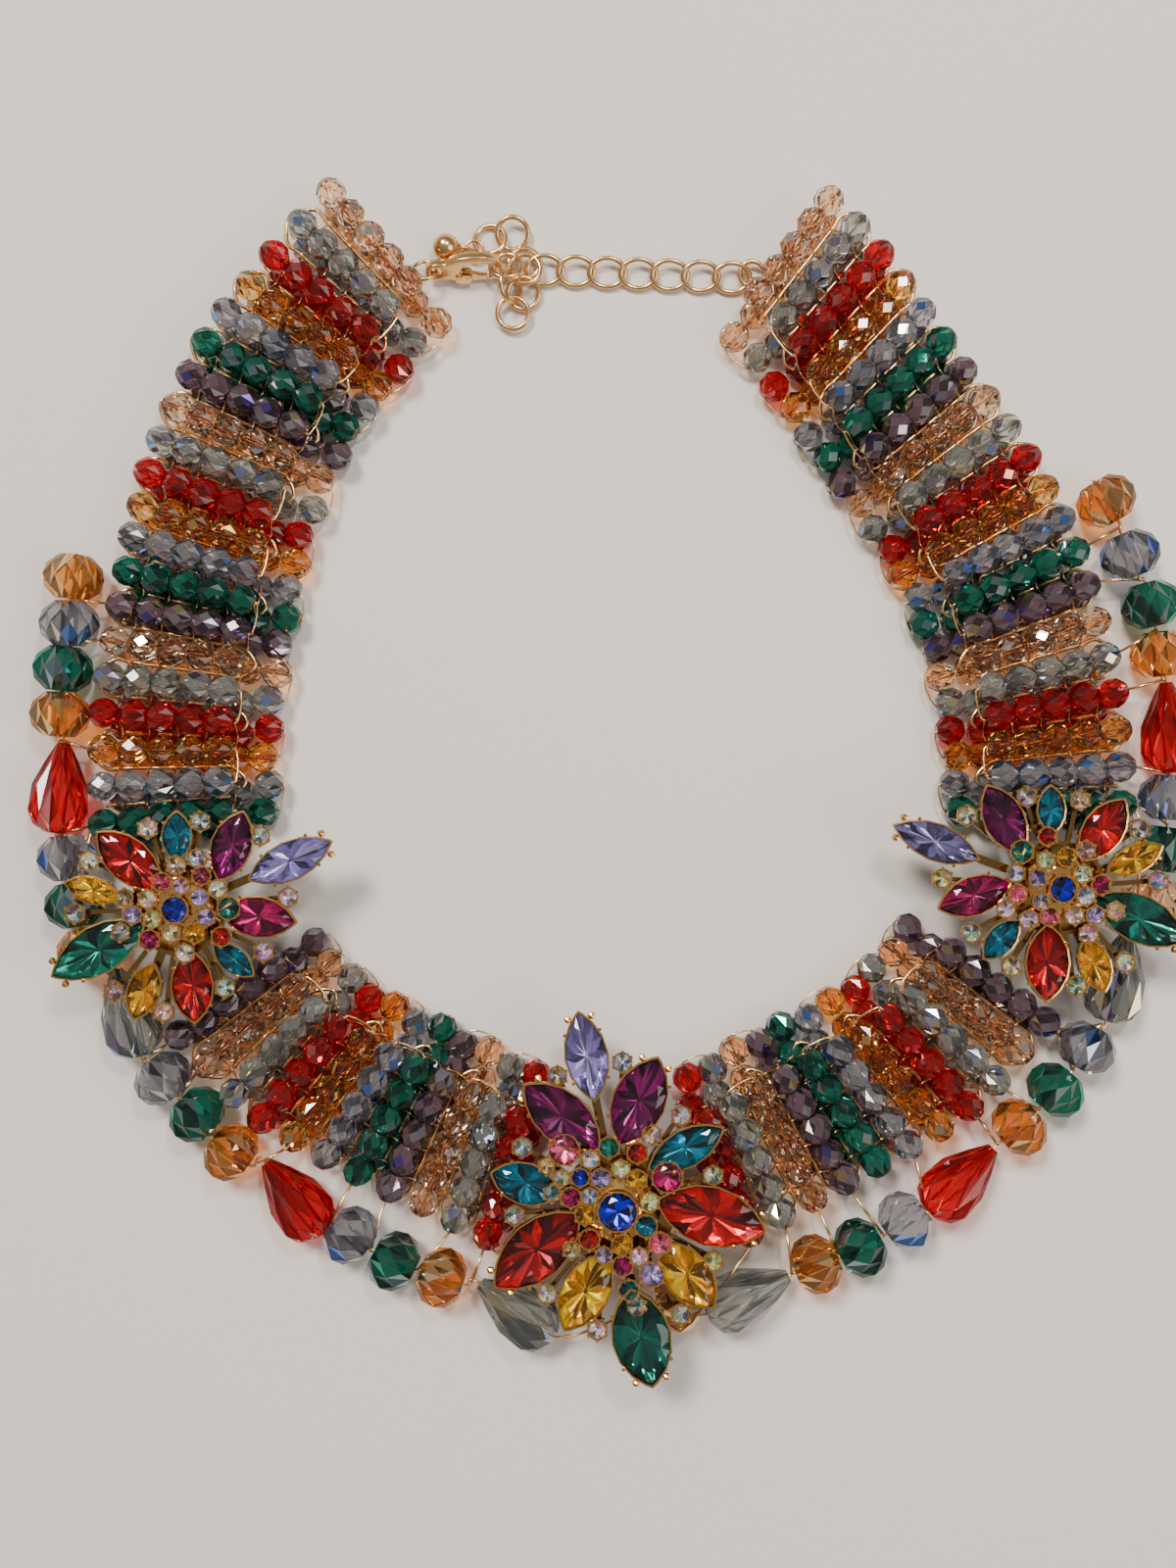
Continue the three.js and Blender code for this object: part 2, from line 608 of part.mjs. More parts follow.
// The body: an eye, a spine and a hook that bends back towards the lever.
function claspBodyMesh() {
  const outline = [
    [-2, -0.7],
    [-1.2, -1.7],
    [0.4, -2.0],
    [2.0, -1.5],
    [3.4, -2.6],
    [4.6, -2.6],
    [4.6, -0.6],
    [5.6, 1.3],
    [9.6, 1.7],
    [11.4, 0.9],
    [11.8, -0.6],
    [11.2, -1.5],
    [10.1, -1.8],
    [10.1, -2.8],
    [12.1, -2.3],
    [12.9, -0.9],
    [12.8, 0.8],
    [11.4, 2.5],
    [9.6, 3.1],
    [5.4, 3.2],
    [2.2, 1.9],
    [0.4, 2.0],
    [-1.2, 1.7],
    [-2, 0.7],
  ];
  const eye = roundHole(0, 0, clasp.eyeHole);
  const plate = solid(claspPlate(outline, [eye], -clasp.halfThickness, clasp.halfThickness));
  const mesh = new THREE.Mesh(geometryOf(plate.add(hingeSolid())), gold);
  mesh.name = "clasp_body";
  mesh.applyMatrix4(claspMatrix);
  return mesh;
}

// The lever that shuts the hook. Its round heel turns on the pin.
function claspLeverMesh() {
  const heel = Array.from({ length: 5 }, (_, i) => {
    const angle = Math.PI / 2 + (i * Math.PI) / 4;
    return [
      lever.pivotX + lever.heelRadius * Math.cos(angle),
      lever.pivotY + lever.heelRadius * Math.sin(angle),
    ];
  });
  const arm = [
    [9.75, -2.9],
    [9.75, -2.1],
    [7.4, -1.6],
  ];
  const eye = roundHole(lever.pivotX, lever.pivotY, lever.pinHole);
  const geometry = claspPlate([...heel, ...arm], [eye], -lever.halfThickness, lever.halfThickness);
  const mesh = new THREE.Mesh(geometry, gold);
  mesh.name = "clasp_lever";
  mesh.applyMatrix4(claspMatrix);
  return mesh;
}

function ringGeometry(ringRadius, wireRadius, steps) {
  return new THREE.TorusGeometry(ringRadius, wireRadius, 4, steps);
}

function ringSolid(place) {
  const matrix = new THREE.Matrix4()
    .makeTranslation(place.x + shift.x, place.y + shift.y, place.z)
    .multiply(new THREE.Matrix4().makeRotationZ(radians(place.turn)))
    .multiply(new THREE.Matrix4().makeRotationX(radians(place.tip)))
    .scale(new THREE.Vector3(place.stretch ?? 1, 1, 1));
  return solid(ringGeometry(place.radius, place.wire, 8), matrix);
}

// A ring square to the clasp's own plane, at a distance along it.
function claspRingMatrix(along, across) {
  return new THREE.Matrix4()
    .copy(claspMatrix)
    .multiply(new THREE.Matrix4().makeTranslation(along, across, 0))
    .multiply(new THREE.Matrix4().makeRotationX(Math.PI / 2));
}

// The rings joined along their length: the hooked one, the straight stretch and the tail.
function chainMesh() {
  const straight = Array.from({ length: link.count }, (_, i) => ({
    x: chainStart.x + i * link.pitch,
    y: chainStart.y - i * chainStart.fall,
    z: chainStart.z,
    radius: link.radius,
    wire: link.wire,
    stretch: link.stretch,
    turn: 0,
    tip: chainStart.tip,
  }));
  const standing = claspRingMatrix(hooked.along, hooked.across);
  const hookedRing = solid(ringGeometry(hooked.radius, hooked.wire, 10), standing);
  const mesh = new THREE.Mesh(
    geometryOf(join([hookedRing, ...[slackRing, ...straight, ...tailRings, endRing].map(ringSolid)])),
    gold,
  );
  mesh.name = "extender_chain";
  return mesh;
}

function ballMesh() {
  const sphere = solid(new THREE.SphereGeometry(ball.radius, 10, 6));
  const standing = new THREE.Matrix4()
    .makeTranslation(ball.eyeReach, 0, -1.1)
    .multiply(new THREE.Matrix4().makeRotationX(Math.PI / 2));
  const eye = solid(ringGeometry(ball.eyeRadius, ball.eyeWire, 10), standing);
  const mesh = new THREE.Mesh(geometryOf(sphere.add(eye)), gold);
  mesh.name = "chain_ball";
  mesh.position.set(ball.x + shift.x, ball.y + shift.y, ball.radius);
  return mesh;
}

// The ring that ties the clasp's eye to the first row.
function claspRingMesh() {
  const mesh = new THREE.Mesh(ringGeometry(claspRing.radius, claspRing.wire, 12), gold);
  mesh.name = "clasp_ring";
  mesh.applyMatrix4(claspRingMatrix(-claspRing.radius, 0));
  return mesh;
}

// ---- the necklace -------------------------------------------------------------------------

const necklace = new THREE.Group();
for (const [armName, arm] of Object.entries(stations)) {
  for (const panel of panels) {
    const mesh = new THREE.Mesh(panelGeometry(arm, panel), glassOf.smoke);
    mesh.name = `${panel.name}_${armName}`;
    necklace.add(mesh);
  }
  for (const run of ["upper", "lower"]) {
    const mesh = new THREE.Mesh(frameGeometry(arm, run), gold);
    mesh.name = `wire_${run}_${armName}`;
    necklace.add(mesh);
  }
}
for (const [group, items] of Object.entries(drops))
  items.forEach((drop, i) => necklace.add(dropMesh(`drop_${group}_${String(i + 1).padStart(2, "0")}`, drop)));
for (const f of flowers) necklace.add(flowerMesh(f));
necklace.add(claspBodyMesh(), claspLeverMesh(), claspRingMesh(), chainMesh(), ballMesh());

export default necklace;
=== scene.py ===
import math
import random

import bmesh
import bpy
from mathutils import Matrix, Vector


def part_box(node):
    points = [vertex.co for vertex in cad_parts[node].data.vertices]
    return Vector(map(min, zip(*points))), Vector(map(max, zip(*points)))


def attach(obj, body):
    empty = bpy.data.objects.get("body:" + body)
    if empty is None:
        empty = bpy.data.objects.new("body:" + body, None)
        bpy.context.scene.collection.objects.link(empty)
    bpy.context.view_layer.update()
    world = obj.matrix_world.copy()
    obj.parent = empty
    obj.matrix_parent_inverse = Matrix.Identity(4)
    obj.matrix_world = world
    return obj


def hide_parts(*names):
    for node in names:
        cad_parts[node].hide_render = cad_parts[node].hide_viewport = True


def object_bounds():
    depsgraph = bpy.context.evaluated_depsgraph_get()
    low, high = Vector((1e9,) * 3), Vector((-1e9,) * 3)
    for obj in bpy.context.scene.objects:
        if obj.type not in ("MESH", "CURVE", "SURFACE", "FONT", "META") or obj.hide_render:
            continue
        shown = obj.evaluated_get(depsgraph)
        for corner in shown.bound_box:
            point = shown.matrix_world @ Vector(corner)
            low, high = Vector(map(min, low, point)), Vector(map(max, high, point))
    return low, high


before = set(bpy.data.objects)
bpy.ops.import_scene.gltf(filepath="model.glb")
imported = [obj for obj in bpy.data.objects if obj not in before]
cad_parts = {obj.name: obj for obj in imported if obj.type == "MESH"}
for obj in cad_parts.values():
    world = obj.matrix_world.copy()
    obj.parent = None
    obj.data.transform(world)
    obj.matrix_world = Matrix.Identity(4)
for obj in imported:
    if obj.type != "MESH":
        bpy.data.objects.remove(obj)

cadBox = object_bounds()
scene = bpy.context.scene
mm = 0.001  # the tables below are in millimetres
dice = random.Random(31)
up = Vector((0, 0, 1))

# Some rows of each arm: row number, distance from the middle line, distance up, slope in degrees.
# The rows between them follow smoothly, and each row runs from its outer end towards the neck.
collar = {
    "shift": Vector((-0.16, -1.63, 0)), "rows": 31, "cornerRow": 20,
    "left": {
        "side": -1,
        "runs": (
            ((1, 44.2, 101.9, -49), (3, 53.3, 91.4, -39.6), (6, 64.7, 77.2, -28.5), (10, 74.6, 54.2, -20.5),
             (13, 78.4, 37.0, -14.5), (17, 82.4, 12.6, -4), (20, 82.6, -6.2, 6)),
            ((21, 71.0, -39.3, 36), (24, 57.5, -52.3, 50), (27, 41.5, -60.8, 61), (31, 20.0, -71.4, 74.5)),
        ),
    },
    "right": {
        "side": 1,
        "runs": (
            ((1, 32.2, 99.8, -53), (3, 41.0, 89.7, -49), (6, 51.8, 74.2, -43.5), (10, 66.2, 54.2, -32.5),
             (13, 74.3, 38.2, -24.5), (17, 80.6, 14.4, -11.5), (20, 82.0, -4.2, -1)),
            ((21, 70.4, -36.6, 36), (24, 57.6, -50.4, 47.6), (27, 41.9, -59.7, 56.5), (31, 20.6, -71.4, 70)),
        ),
    },
}
beads = {
    "pitch": 5.55, "radius": 3.0, "length": 5.3, "hole": 0.45, "sides": 8,
    "end": 0.52, "shoulder": 0.924, "shoulderAt": 0.24, "sizeSpread": 0.03, "wobble": 0.12,
    "firstAlong": -15.0, "upper": 5, "lower": 5, "lowerStep": 0.45,
    "upperZ": 8.3, "lowerZ": 3.0, "lowerAside": 1.3, "highAside": 2.3,
    "innerReach": 14.7, "innerStagger": 1.0, "innerAside": 0.8, "innerRise": 0.4,
    "order": ("champagne", "smoke", "red", "amber", "steel", "green", "plum"),
    "lift": (-0.4, 0.3, 0.5, -0.5, 0.5, 0.1, -0.3),
}


# Shapes are gathered as points and faces, each face with a number for its finish.
def newHeap():
    return {"points": [], "faces": [], "finish": [], "tint": []}


def addShape(heap, points, faces, finish=0, tint=None):
    first = len(heap["points"])
    heap["points"] += [Vector(p) for p in points]
    heap["faces"] += [[first + i for i in face] for face in faces]
    heap["finish"] += list(finish) if isinstance(finish, (list, tuple)) else [finish] * len(faces)
    heap["tint"] += tint if tint else [(1, 1, 1)] * len(faces)


def heapMesh(name, heap, smooth=False):
    mesh = bpy.data.meshes.new(name)
    mesh.from_pydata([p * mm for p in heap["points"]], [], heap["faces"])
    mesh.polygons.foreach_set("material_index", heap["finish"])
    mesh.polygons.foreach_set("use_smooth", [smooth] * len(mesh.polygons))
    tint = mesh.attributes.new("tint", "FLOAT_COLOR", "FACE")
    tint.data.foreach_set("color", [c for t in heap["tint"] for c in (*t, 1)])
    shell = bmesh.new()
    shell.from_mesh(mesh)
    bmesh.ops.recalc_face_normals(shell, faces=shell.faces)
    shell.to_mesh(mesh)
    shell.free()
    return mesh


def addPiece(name, mesh, materials):
    piece = bpy.data.objects.new(name, mesh)
    scene.collection.objects.link(piece)
    slots = [face.material_index for face in mesh.polygons]
    mesh.materials.clear()
    for material in materials:
        mesh.materials.append(material)
    if len(materials) > 1:
        mesh.polygons.foreach_set("material_index", slots)
    return piece


def finishPiece(piece, nodes, body="necklace"):
    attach(piece, body)
    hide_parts(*nodes)


finishes = {
    "gold": {"colour": (0.80, 0.50, 0.23), "rough": 0.22, "grain": 900},
    "castGold": {
        # deep: painted shade. Below the first height (in metres) the colour is darkened to the last share,
        # rising to full colour at the second height.
        "colour": (0.82, 0.46, 0.15), "rough": 0.17, "grain": 600, "deep": (0.0124, 0.0156, 0.2),
    },
    "goldBump": {"strength": 0.12, "depth": 0.0002},
    "bead": {"ior": 1.52, "rough": 0.03, "coatMetal": 0.85, "paintedShadeShare": 0.3, "shadowLight": 0.6},
    "stone": {"ior": 1.55, "crownRough": 0.02, "shadowLight": 0.85},
    # glow: the strength of the foil's painted glow
    "foil": {"rough": 0.1, "metal": 0.8, "glow": 0.03},
}
# body: the glass itself; the darker colour: painted shade on a random share of facets, standing in for facets
# turned from the light; flashes: thin coloured coats on single facets
glassRecipes = {
    "champagne": {"body": (0.94, 0.69, 0.48), "paintedShade": (0.76, 0.46, 0.27), "clear": 1.0, "coat": 0.06,
                  "flashes": ((0.85, 0.55, 0.36), (0.80, 0.74, 0.68))},
    "smoke": {"body": (0.52, 0.52, 0.47), "paintedShade": (0.17, 0.18, 0.17), "clear": 0.85, "coat": 0.22,
              "flashes": ((0.50, 0.54, 0.48), (0.30, 0.38, 0.66), (0.66, 0.58, 0.36), (0.45, 0.36, 0.48))},
    "red": {"body": (0.68, 0.004, 0.012), "paintedShade": (0.26, 0.0, 0.003), "clear": 0.9, "coat": 0.05,
            "flashes": ((0.75, 0.06, 0.06), (0.85, 0.25, 0.22))},
    "amber": {"body": (0.92, 0.53, 0.14), "paintedShade": (0.66, 0.32, 0.06), "clear": 1.0, "coat": 0.06,
              "flashes": ((0.85, 0.50, 0.18), (0.62, 0.52, 0.30))},
    "honey": {"body": (0.84, 0.40, 0.08), "paintedShade": (0.44, 0.17, 0.03), "clear": 0.9, "coat": 0.2,
              "flashes": ((0.74, 0.46, 0.20), (0.60, 0.36, 0.14), (0.80, 0.58, 0.34))},
    "steel": {"body": (0.49, 0.48, 0.50), "paintedShade": (0.13, 0.13, 0.15), "clear": 0.84, "coat": 0.22,
              "flashes": ((0.46, 0.45, 0.48), (0.14, 0.28, 0.72), (0.54, 0.51, 0.48), (0.38, 0.40, 0.50))},
    "green": {"body": (0.006, 0.20, 0.125), "paintedShade": (0.0, 0.045, 0.03), "clear": 0.75, "coat": 0.2,
              "flashes": ((0.20, 0.32, 0.34), (0.02, 0.28, 0.18), (0.26, 0.36, 0.38))},
    "plum": {"body": (0.20, 0.12, 0.15), "paintedShade": (0.05, 0.028, 0.036), "clear": 0.65, "coat": 0.3,
             "flashes": ((0.44, 0.43, 0.46), (0.48, 0.36, 0.20), (0.16, 0.10, 0.40), (0.36, 0.30, 0.34))},
}


# Each link goes from a node's output to a node's input.
def join(links, *rows):
    for start, output, end, socket in rows:
        links.new(start.outputs[output], end.inputs[socket])


def setInputs(node, *rows):
    for socket, value in rows:
        node.inputs[socket].default_value = value


def startMaterial(name):
    material = bpy.data.materials.new(name)
    material.use_nodes = True
    tree = material.node_tree
    return material, tree.nodes, tree.links, tree.nodes["Principled BSDF"]


def makeGold(name, recipe):
    material, nodes, links, shader = startMaterial(name)
    setInputs(shader, ("Base Color", (*recipe["colour"], 1)), ("Metallic", 1),
                      ("Roughness", recipe["rough"]))
    place = nodes.new("ShaderNodeTexCoord")
    noise = nodes.new("ShaderNodeTexNoise")
    noise.inputs["Scale"].default_value = recipe["grain"]
    bump = nodes.new("ShaderNodeBump")
    setInputs(bump, ("Strength", finishes["goldBump"]["strength"]),
                    ("Distance", finishes["goldBump"]["depth"]))
    join(links, (place, "Object", noise, "Vector"), (noise, "Fac", bump, "Height"),
                (bump, "Normal", shader, "Normal"))
    if "deep" in recipe:
        # Painted shade: the casting is darkened from its rims down to its plate, where the petals and cups
        # would shade it.
        low, high, paintedShadeDarkest = recipe["deep"]
        height, fade, mix = (nodes.new("ShaderNode" + kind) for kind in ("SeparateXYZ", "MapRange", "Mix"))
        mix.data_type = "RGBA"
        fade.inputs["From Min"].default_value, fade.inputs["From Max"].default_value = low, high
        join(links, (place, "Object", height, "Vector"), (height, "Z", fade, "Value"),
                    (fade, "Result", mix, "Factor"))
        setInputs(mix, ("A", (*(c * paintedShadeDarkest for c in recipe["colour"]), 1)),
                       ("B", (*recipe["colour"], 1)))
        join(links, (mix, "Result", shader, "Base Color"))
    return material


def glassRamp(nodes, recipe):
    ramp = nodes.new("ShaderNodeValToRGB")
    ramp.color_ramp.interpolation = "CONSTANT"
    coats = recipe["flashes"]
    body = 1 - recipe["coat"]
    # A random share of the facets gets the painted shade colour.
    stops = [(0.0, recipe["paintedShade"]), (body * finishes["bead"]["paintedShadeShare"], recipe["body"])]
    stops += [(body + recipe["coat"] * i / len(coats), colour) for i, colour in enumerate(coats)]
    while len(ramp.color_ramp.elements) < len(stops):
        ramp.color_ramp.elements.new(0.5)
    for element, (at, colour) in zip(ramp.color_ramp.elements, stops):
        element.position = at
        element.color = (*colour, 1)
    return ramp


def lightPassing(nodes, links, shader, tint, share):
    # Light for the shadows goes part of the way through the glass.
    path = nodes.new("ShaderNodeLightPath")
    through = nodes.new("ShaderNodeBsdfTransparent")
    through.inputs["Color"].default_value = (*tint, 1)
    part = nodes.new("ShaderNodeMath")
    part.operation = "MULTIPLY"
    part.inputs[1].default_value = share
    mix = nodes.new("ShaderNodeMixShader")
    join(links, (path, "Is Shadow Ray", part, 0), (part, 0, mix, "Fac"), (shader, "BSDF", mix, 1),
                (through, "BSDF", mix, 2))
    links.new(mix.outputs["Shader"], nodes["Material Output"].inputs["Surface"])


def makeGlass(name, recipe):
    material, nodes, links, shader = startMaterial(name)
    facet = nodes.new("ShaderNodeAttribute")
    facet.attribute_name = "facet"
    ramp = glassRamp(nodes, recipe)
    coated = nodes.new("ShaderNodeMath")
    coated.operation = "GREATER_THAN"
    coated.inputs[1].default_value = 1 - recipe["coat"]
    coat = nodes.new("ShaderNodeMath")
    coat.operation = "MULTIPLY"
    coat.inputs[1].default_value = finishes["bead"]["coatMetal"]
    join(links, (facet, "Fac", ramp, "Fac"), (facet, "Fac", coated, 0), (coated, 0, coat, 0),
                (ramp, "Color", shader, "Base Color"), (coat, 0, shader, "Metallic"))
    setInputs(shader, ("Transmission Weight", recipe["clear"]),
                      ("Roughness", finishes["bead"]["rough"]), ("IOR", finishes["bead"]["ior"]))
    lightPassing(nodes, links, shader, recipe["body"], finishes["bead"]["shadowLight"] * recipe["clear"])
    return material


# A clear crown, or the foiled back that shows through it. Each face has its own tint.
def makeStone(name, foil):
    material, nodes, links, shader = startMaterial(name)
    tint = nodes.new("ShaderNodeAttribute")
    tint.attribute_name = "tint"
    join(links, (tint, "Color", shader, "Base Color"))
    if foil:
        # Painted light: the foil glows faintly in its own tint, standing in for the brilliance of a cut
        # stone's inner reflections.
        join(links, (tint, "Color", shader, "Emission Color"))
        setInputs(shader, ("Emission Strength", finishes["foil"]["glow"]),
                          ("Roughness", finishes["foil"]["rough"]),
                          ("Metallic", finishes["foil"]["metal"]))
    else:
        setInputs(shader, ("Roughness", finishes["stone"]["crownRough"]), ("Transmission Weight", 1.0))
        lightPassing(nodes, links, shader, (1, 1, 1), finishes["stone"]["shadowLight"])
    shader.inputs["IOR"].default_value = finishes["stone"]["ior"]
    return material


goldWire = makeGold("goldWire", finishes["gold"])
goldCast = makeGold("goldCast", finishes["castGold"])
beadGlass = {name: makeGlass(name + "Glass", recipe) for name, recipe in glassRecipes.items()}
stoneCrown = makeStone("stoneCrown", False)
stoneFoil = makeStone("stoneFoil", True)
print("finishes made")


def startTree(name, wanted):
    tree = bpy.data.node_groups.new(name, "GeometryNodeTree")
    tree.interface.new_socket("Geometry", in_out="INPUT", socket_type="NodeSocketGeometry")
    for label, kind in wanted:
        tree.interface.new_socket(label, in_out="INPUT", socket_type="NodeSocket" + kind)
    tree.interface.new_socket("Geometry", in_out="OUTPUT", socket_type="NodeSocketGeometry")
    return tree, tree.nodes.new("NodeGroupInput"), tree.nodes.new("NodeGroupOutput")


def endTree(tree, given, last, out):
    solid = tree.nodes.new("GeometryNodeRealizeInstances")
    dress = tree.nodes.new("GeometryNodeSetMaterial")
    tree.links.new(last, solid.inputs["Geometry"])
    tree.links.new(solid.outputs["Geometry"], dress.inputs["Geometry"])
    tree.links.new(given.outputs["Finish"], dress.inputs["Material"])
    tree.links.new(dress.outputs["Geometry"], out.inputs["Geometry"])
    return solid


# Copies one shape to each point, turned by "facing" and sized by "size", and numbers its facets at random.
def makeScatterTree():
    wanted = (("Shape", "Object"), ("Seed", "Int"), ("Finish", "Material"))
    tree, given, out = startTree("copiesOnPoints", wanted)
    nodes, links = tree.nodes, tree.links
    source = nodes.new("GeometryNodeObjectInfo")
    copies = nodes.new("GeometryNodeInstanceOnPoints")
    join(links, (given, "Geometry", copies, "Points"), (given, "Shape", source, "Object"),
                (source, "Geometry", copies, "Instance"))
    for attribute, socket in (("facing", "Rotation"), ("size", "Scale")):
        read = nodes.new("GeometryNodeInputNamedAttribute")
        read.data_type = "FLOAT_VECTOR"
        read.inputs["Name"].default_value = attribute
        links.new(read.outputs["Attribute"], copies.inputs[socket])
    solid = endTree(tree, given, copies.outputs["Instances"], out)
    number = nodes.new("FunctionNodeRandomValue")
    store = nodes.new("GeometryNodeStoreNamedAttribute")
    store.data_type, store.domain = "FLOAT", "FACE"
    store.inputs["Name"].default_value = "facet"
    join(links, (given, "Seed", number, "Seed"))
    value = next(s for s in number.outputs if s.enabled and s.type == "VALUE")
    links.new(value, next(s for s in store.inputs if s.enabled and s.name == "Value"))
    dress = solid.outputs["Geometry"].links[0].to_node
    join(links, (solid, "Geometry", store, "Geometry"), (store, "Geometry", dress, "Geometry"))
    return tree


# Draws a round wire along each run of edges.
def makeWireTree():
    wanted = (("Radius", "Float"), ("Corners", "Int"), ("Steps", "Int"), ("Finish", "Material"))
    tree, given, out = startTree("wireOnPath", wanted)
    nodes, links = tree.nodes, tree.links
    path = nodes.new("GeometryNodeMeshToCurve")
    kind = nodes.new("GeometryNodeCurveSplineType")
    kind.spline_type = "CATMULL_ROM"
    steps = nodes.new("GeometryNodeSetSplineResolution")
    circle = nodes.new("GeometryNodeCurvePrimitiveCircle")
    tube = nodes.new("GeometryNodeCurveToMesh")
    tube.inputs["Fill Caps"].default_value = True
    join(links, (given, "Geometry", path, "Mesh"), (path, "Curve", kind, "Curve"),
                (kind, "Curve", steps, "Geometry"), (given, "Steps", steps, "Resolution"),
                (given, "Corners", circle, "Resolution"), (given, "Radius", circle, "Radius"),
                (steps, "Geometry", tube, "Curve"), (circle, "Curve", tube, "Profile Curve"))
    endTree(tree, given, tube.outputs["Mesh"], out)
    return tree


def growMesh(holder, tree, values):
    maker = holder.modifiers.new("maker", "NODES")
    maker.node_group = tree
    for socket in tree.interface.items_tree:
        if socket.in_out == "INPUT" and socket.name in values:
            maker[socket.identifier] = values[socket.name]
    graph = bpy.context.evaluated_depsgraph_get()
    ready = holder.evaluated_get(graph)
    grown = bpy.data.meshes.new_from_object(ready, preserve_all_data_layers=True, depsgraph=graph)
    holder.modifiers.clear()
    holder.data = grown
    return holder


scatterTree, wireTree = makeScatterTree(), makeWireTree()


def scatterPiece(name, shape, spots, finish, seed=1):
    mesh = bpy.data.meshes.new(name)
    mesh.from_pydata([s["at"] * mm for s in spots], [], [])
    for attribute in ("facing", "size"):
        data = mesh.attributes.new(attribute, "FLOAT_VECTOR", "POINT").data
        data.foreach_set("vector", [v for s in spots for v in s[attribute]])
    holder = addPiece(name, mesh, ())
    return growMesh(holder, scatterTree, {"Shape": shape, "Seed": seed, "Finish": finish})


def wirePiece(name, paths, radius, corners, steps):
    points, edges = [], []
    for path in paths:
        edges += [(len(points) + i, len(points) + i + 1) for i in range(len(path) - 1)]
        points += [p * mm for p in path]
    mesh = bpy.data.meshes.new(name)
    mesh.from_pydata(points, edges, [])
    piece = growMesh(addPiece(name, mesh, ()), wireTree, {
        "Radius": radius * mm, "Corners": corners, "Steps": steps, "Finish": goldWire})
    piece.data.polygons.foreach_set("use_smooth", [True] * len(piece.data.polygons))
    return piece


# Facets over rings that alternate by half a step: rhombs across the inner rings, triangles at the ends.
def latticeFaces(rings, sides):
    def mid(i, j):
        return j if i % 2 == 0 else (j + 1) % sides

    def at(i, j):
        return i * sides + j % sides

    faces = []
    for i in range(1, rings - 1):
        faces += [(at(i - 1, mid(i, j)), at(i, j + 1), at(i + 1, mid(i, j)), at(i, j)) for j in range(sides)]
    for end, beside in ((0, 1), (rings - 1, rings - 2)):
        faces += [(at(end, j), at(end, j + 1), at(beside, mid(end, j))) for j in range(sides)]
    return faces


def roundRings(profile, sides):
    rings = []
    for i, (z, radius) in enumerate(profile):
        angles = [(j + 0.5 * (i % 2)) * math.tau / sides for j in range(sides)]
        rings.append([Vector((radius * math.cos(a), radius * math.sin(a), z)) for a in angles])
    return rings


# A drilled bead about its own Z axis.
def addBead(heap, profile, sides, hole, place=Matrix.Identity(4)):
    rings = roundRings(profile, sides)
    count = len(rings)
    points = [p for ring in rings for p in ring]
    faces = latticeFaces(count, sides)
    for end in (0, count - 1):
        points += [Vector((p.x, p.y, 0)).normalized() * hole + up * p.z for p in rings[end]]
    for j in range(sides):
        k = (j + 1) % sides
        first, last, low, high = 0, (count - 1) * sides, count * sides, (count + 1) * sides
        faces += [(first + j, first + k, low + k, low + j), (last + j, last + k, high + k, high + j),
                  (low + j, low + k, high + k, high + j)]
    addShape(heap, [place @ p for p in points], faces)


# Heights and radii of a round cut's rings, the same at both ends.
def roundProfile(cut):
    radius, half, shoulder = cut["radius"], cut["length"] / 2, cut["length"] * cut["shoulderAt"]
    return ((-half, radius * cut["end"]), (-shoulder, radius * cut["shoulder"]), (0, radius),
            (shoulder, radius * cut["shoulder"]), (half, radius * cut["end"]))


def between(run, row, column):
    k = max(i for i in range(len(run) - 1) if run[i][0] <= row)
    low, high = run[k], run[k + 1]
    span = high[0] - low[0]
    t = (row - low[0]) / span

    def climb(i):
        before, after = run[max(i - 1, 0)], run[min(i + 1, len(run) - 1)]
        return (after[column] - before[column]) / (after[0] - before[0])

    return (low[column] * (1 + 2 * t) * (1 - t) ** 2 + high[column] * t * t * (3 - 2 * t)
            + climb(k) * span * t * (1 - t) ** 2 - climb(k + 1) * span * t * t * (1 - t))


def rowAt(arm, row):
    run = next(r for r in arm["runs"] if r[0][0] <= row <= r[-1][0])
    away, height, slope = (between(run, row, column) for column in (1, 2, 3))
    side, slope = arm["side"], math.radians(slope)
    lift = beads["lift"][(row - 1) % len(beads["lift"])]
    return {
        "middle": Vector((side * away, height, 0)) + collar["shift"],
        "inward": Vector((-side * math.cos(slope), math.sin(slope), 0)),
        "onward": Vector((-side * math.sin(slope), -math.cos(slope), 0)),
        "lift": lift,
        "aside": beads["highAside"] if lift > 0 else beads["lowerAside"],
    }


def pointOn(row, along, z, aside=0.0):
    return row["middle"] + row["inward"] * along + row["onward"] * aside + up * z


def innerReach(number):
    return beads["innerReach"] + beads["innerStagger"] * (number % 2)


# Each bead's place along its row, its height and how far it stands aside: top string, then lower string.
def stringsOf(row, number):
    first, pitch = beads["firstAlong"], beads["pitch"]
    upper = [(first + i * pitch, beads["upperZ"] + row["lift"], 0) for i in range(beads["upper"])]
    reach = innerReach(number)
    along = [first + (i + beads["lowerStep"]) * pitch for i in range(beads["lower"])]
    lower = [(a, beads["lowerZ"], row["aside"]) for a in along]
    return upper, lower + [(reach, beads["lowerZ"] + beads["innerRise"], beads["innerAside"])]


def beadSpot(row, along, z, aside):
    size = dice.uniform(1 - beads["sizeSpread"], 1 + beads["sizeSpread"])
    wobble = Vector([dice.uniform(-beads["wobble"], beads["wobble"]) for _ in range(3)])
    lean = (row["inward"] + wobble * 0.6).normalized()
    facing = lean.to_track_quat("Z", "Y").to_matrix() @ Matrix.Rotation(dice.uniform(0, math.tau), 3, "Z")
    at = pointOn(row, along, max(z, beads["radius"] * size), aside) + Vector((wobble.x, wobble.y, 0))
    return {"at": at, "facing": facing.to_euler(), "size": (size, size, size)}


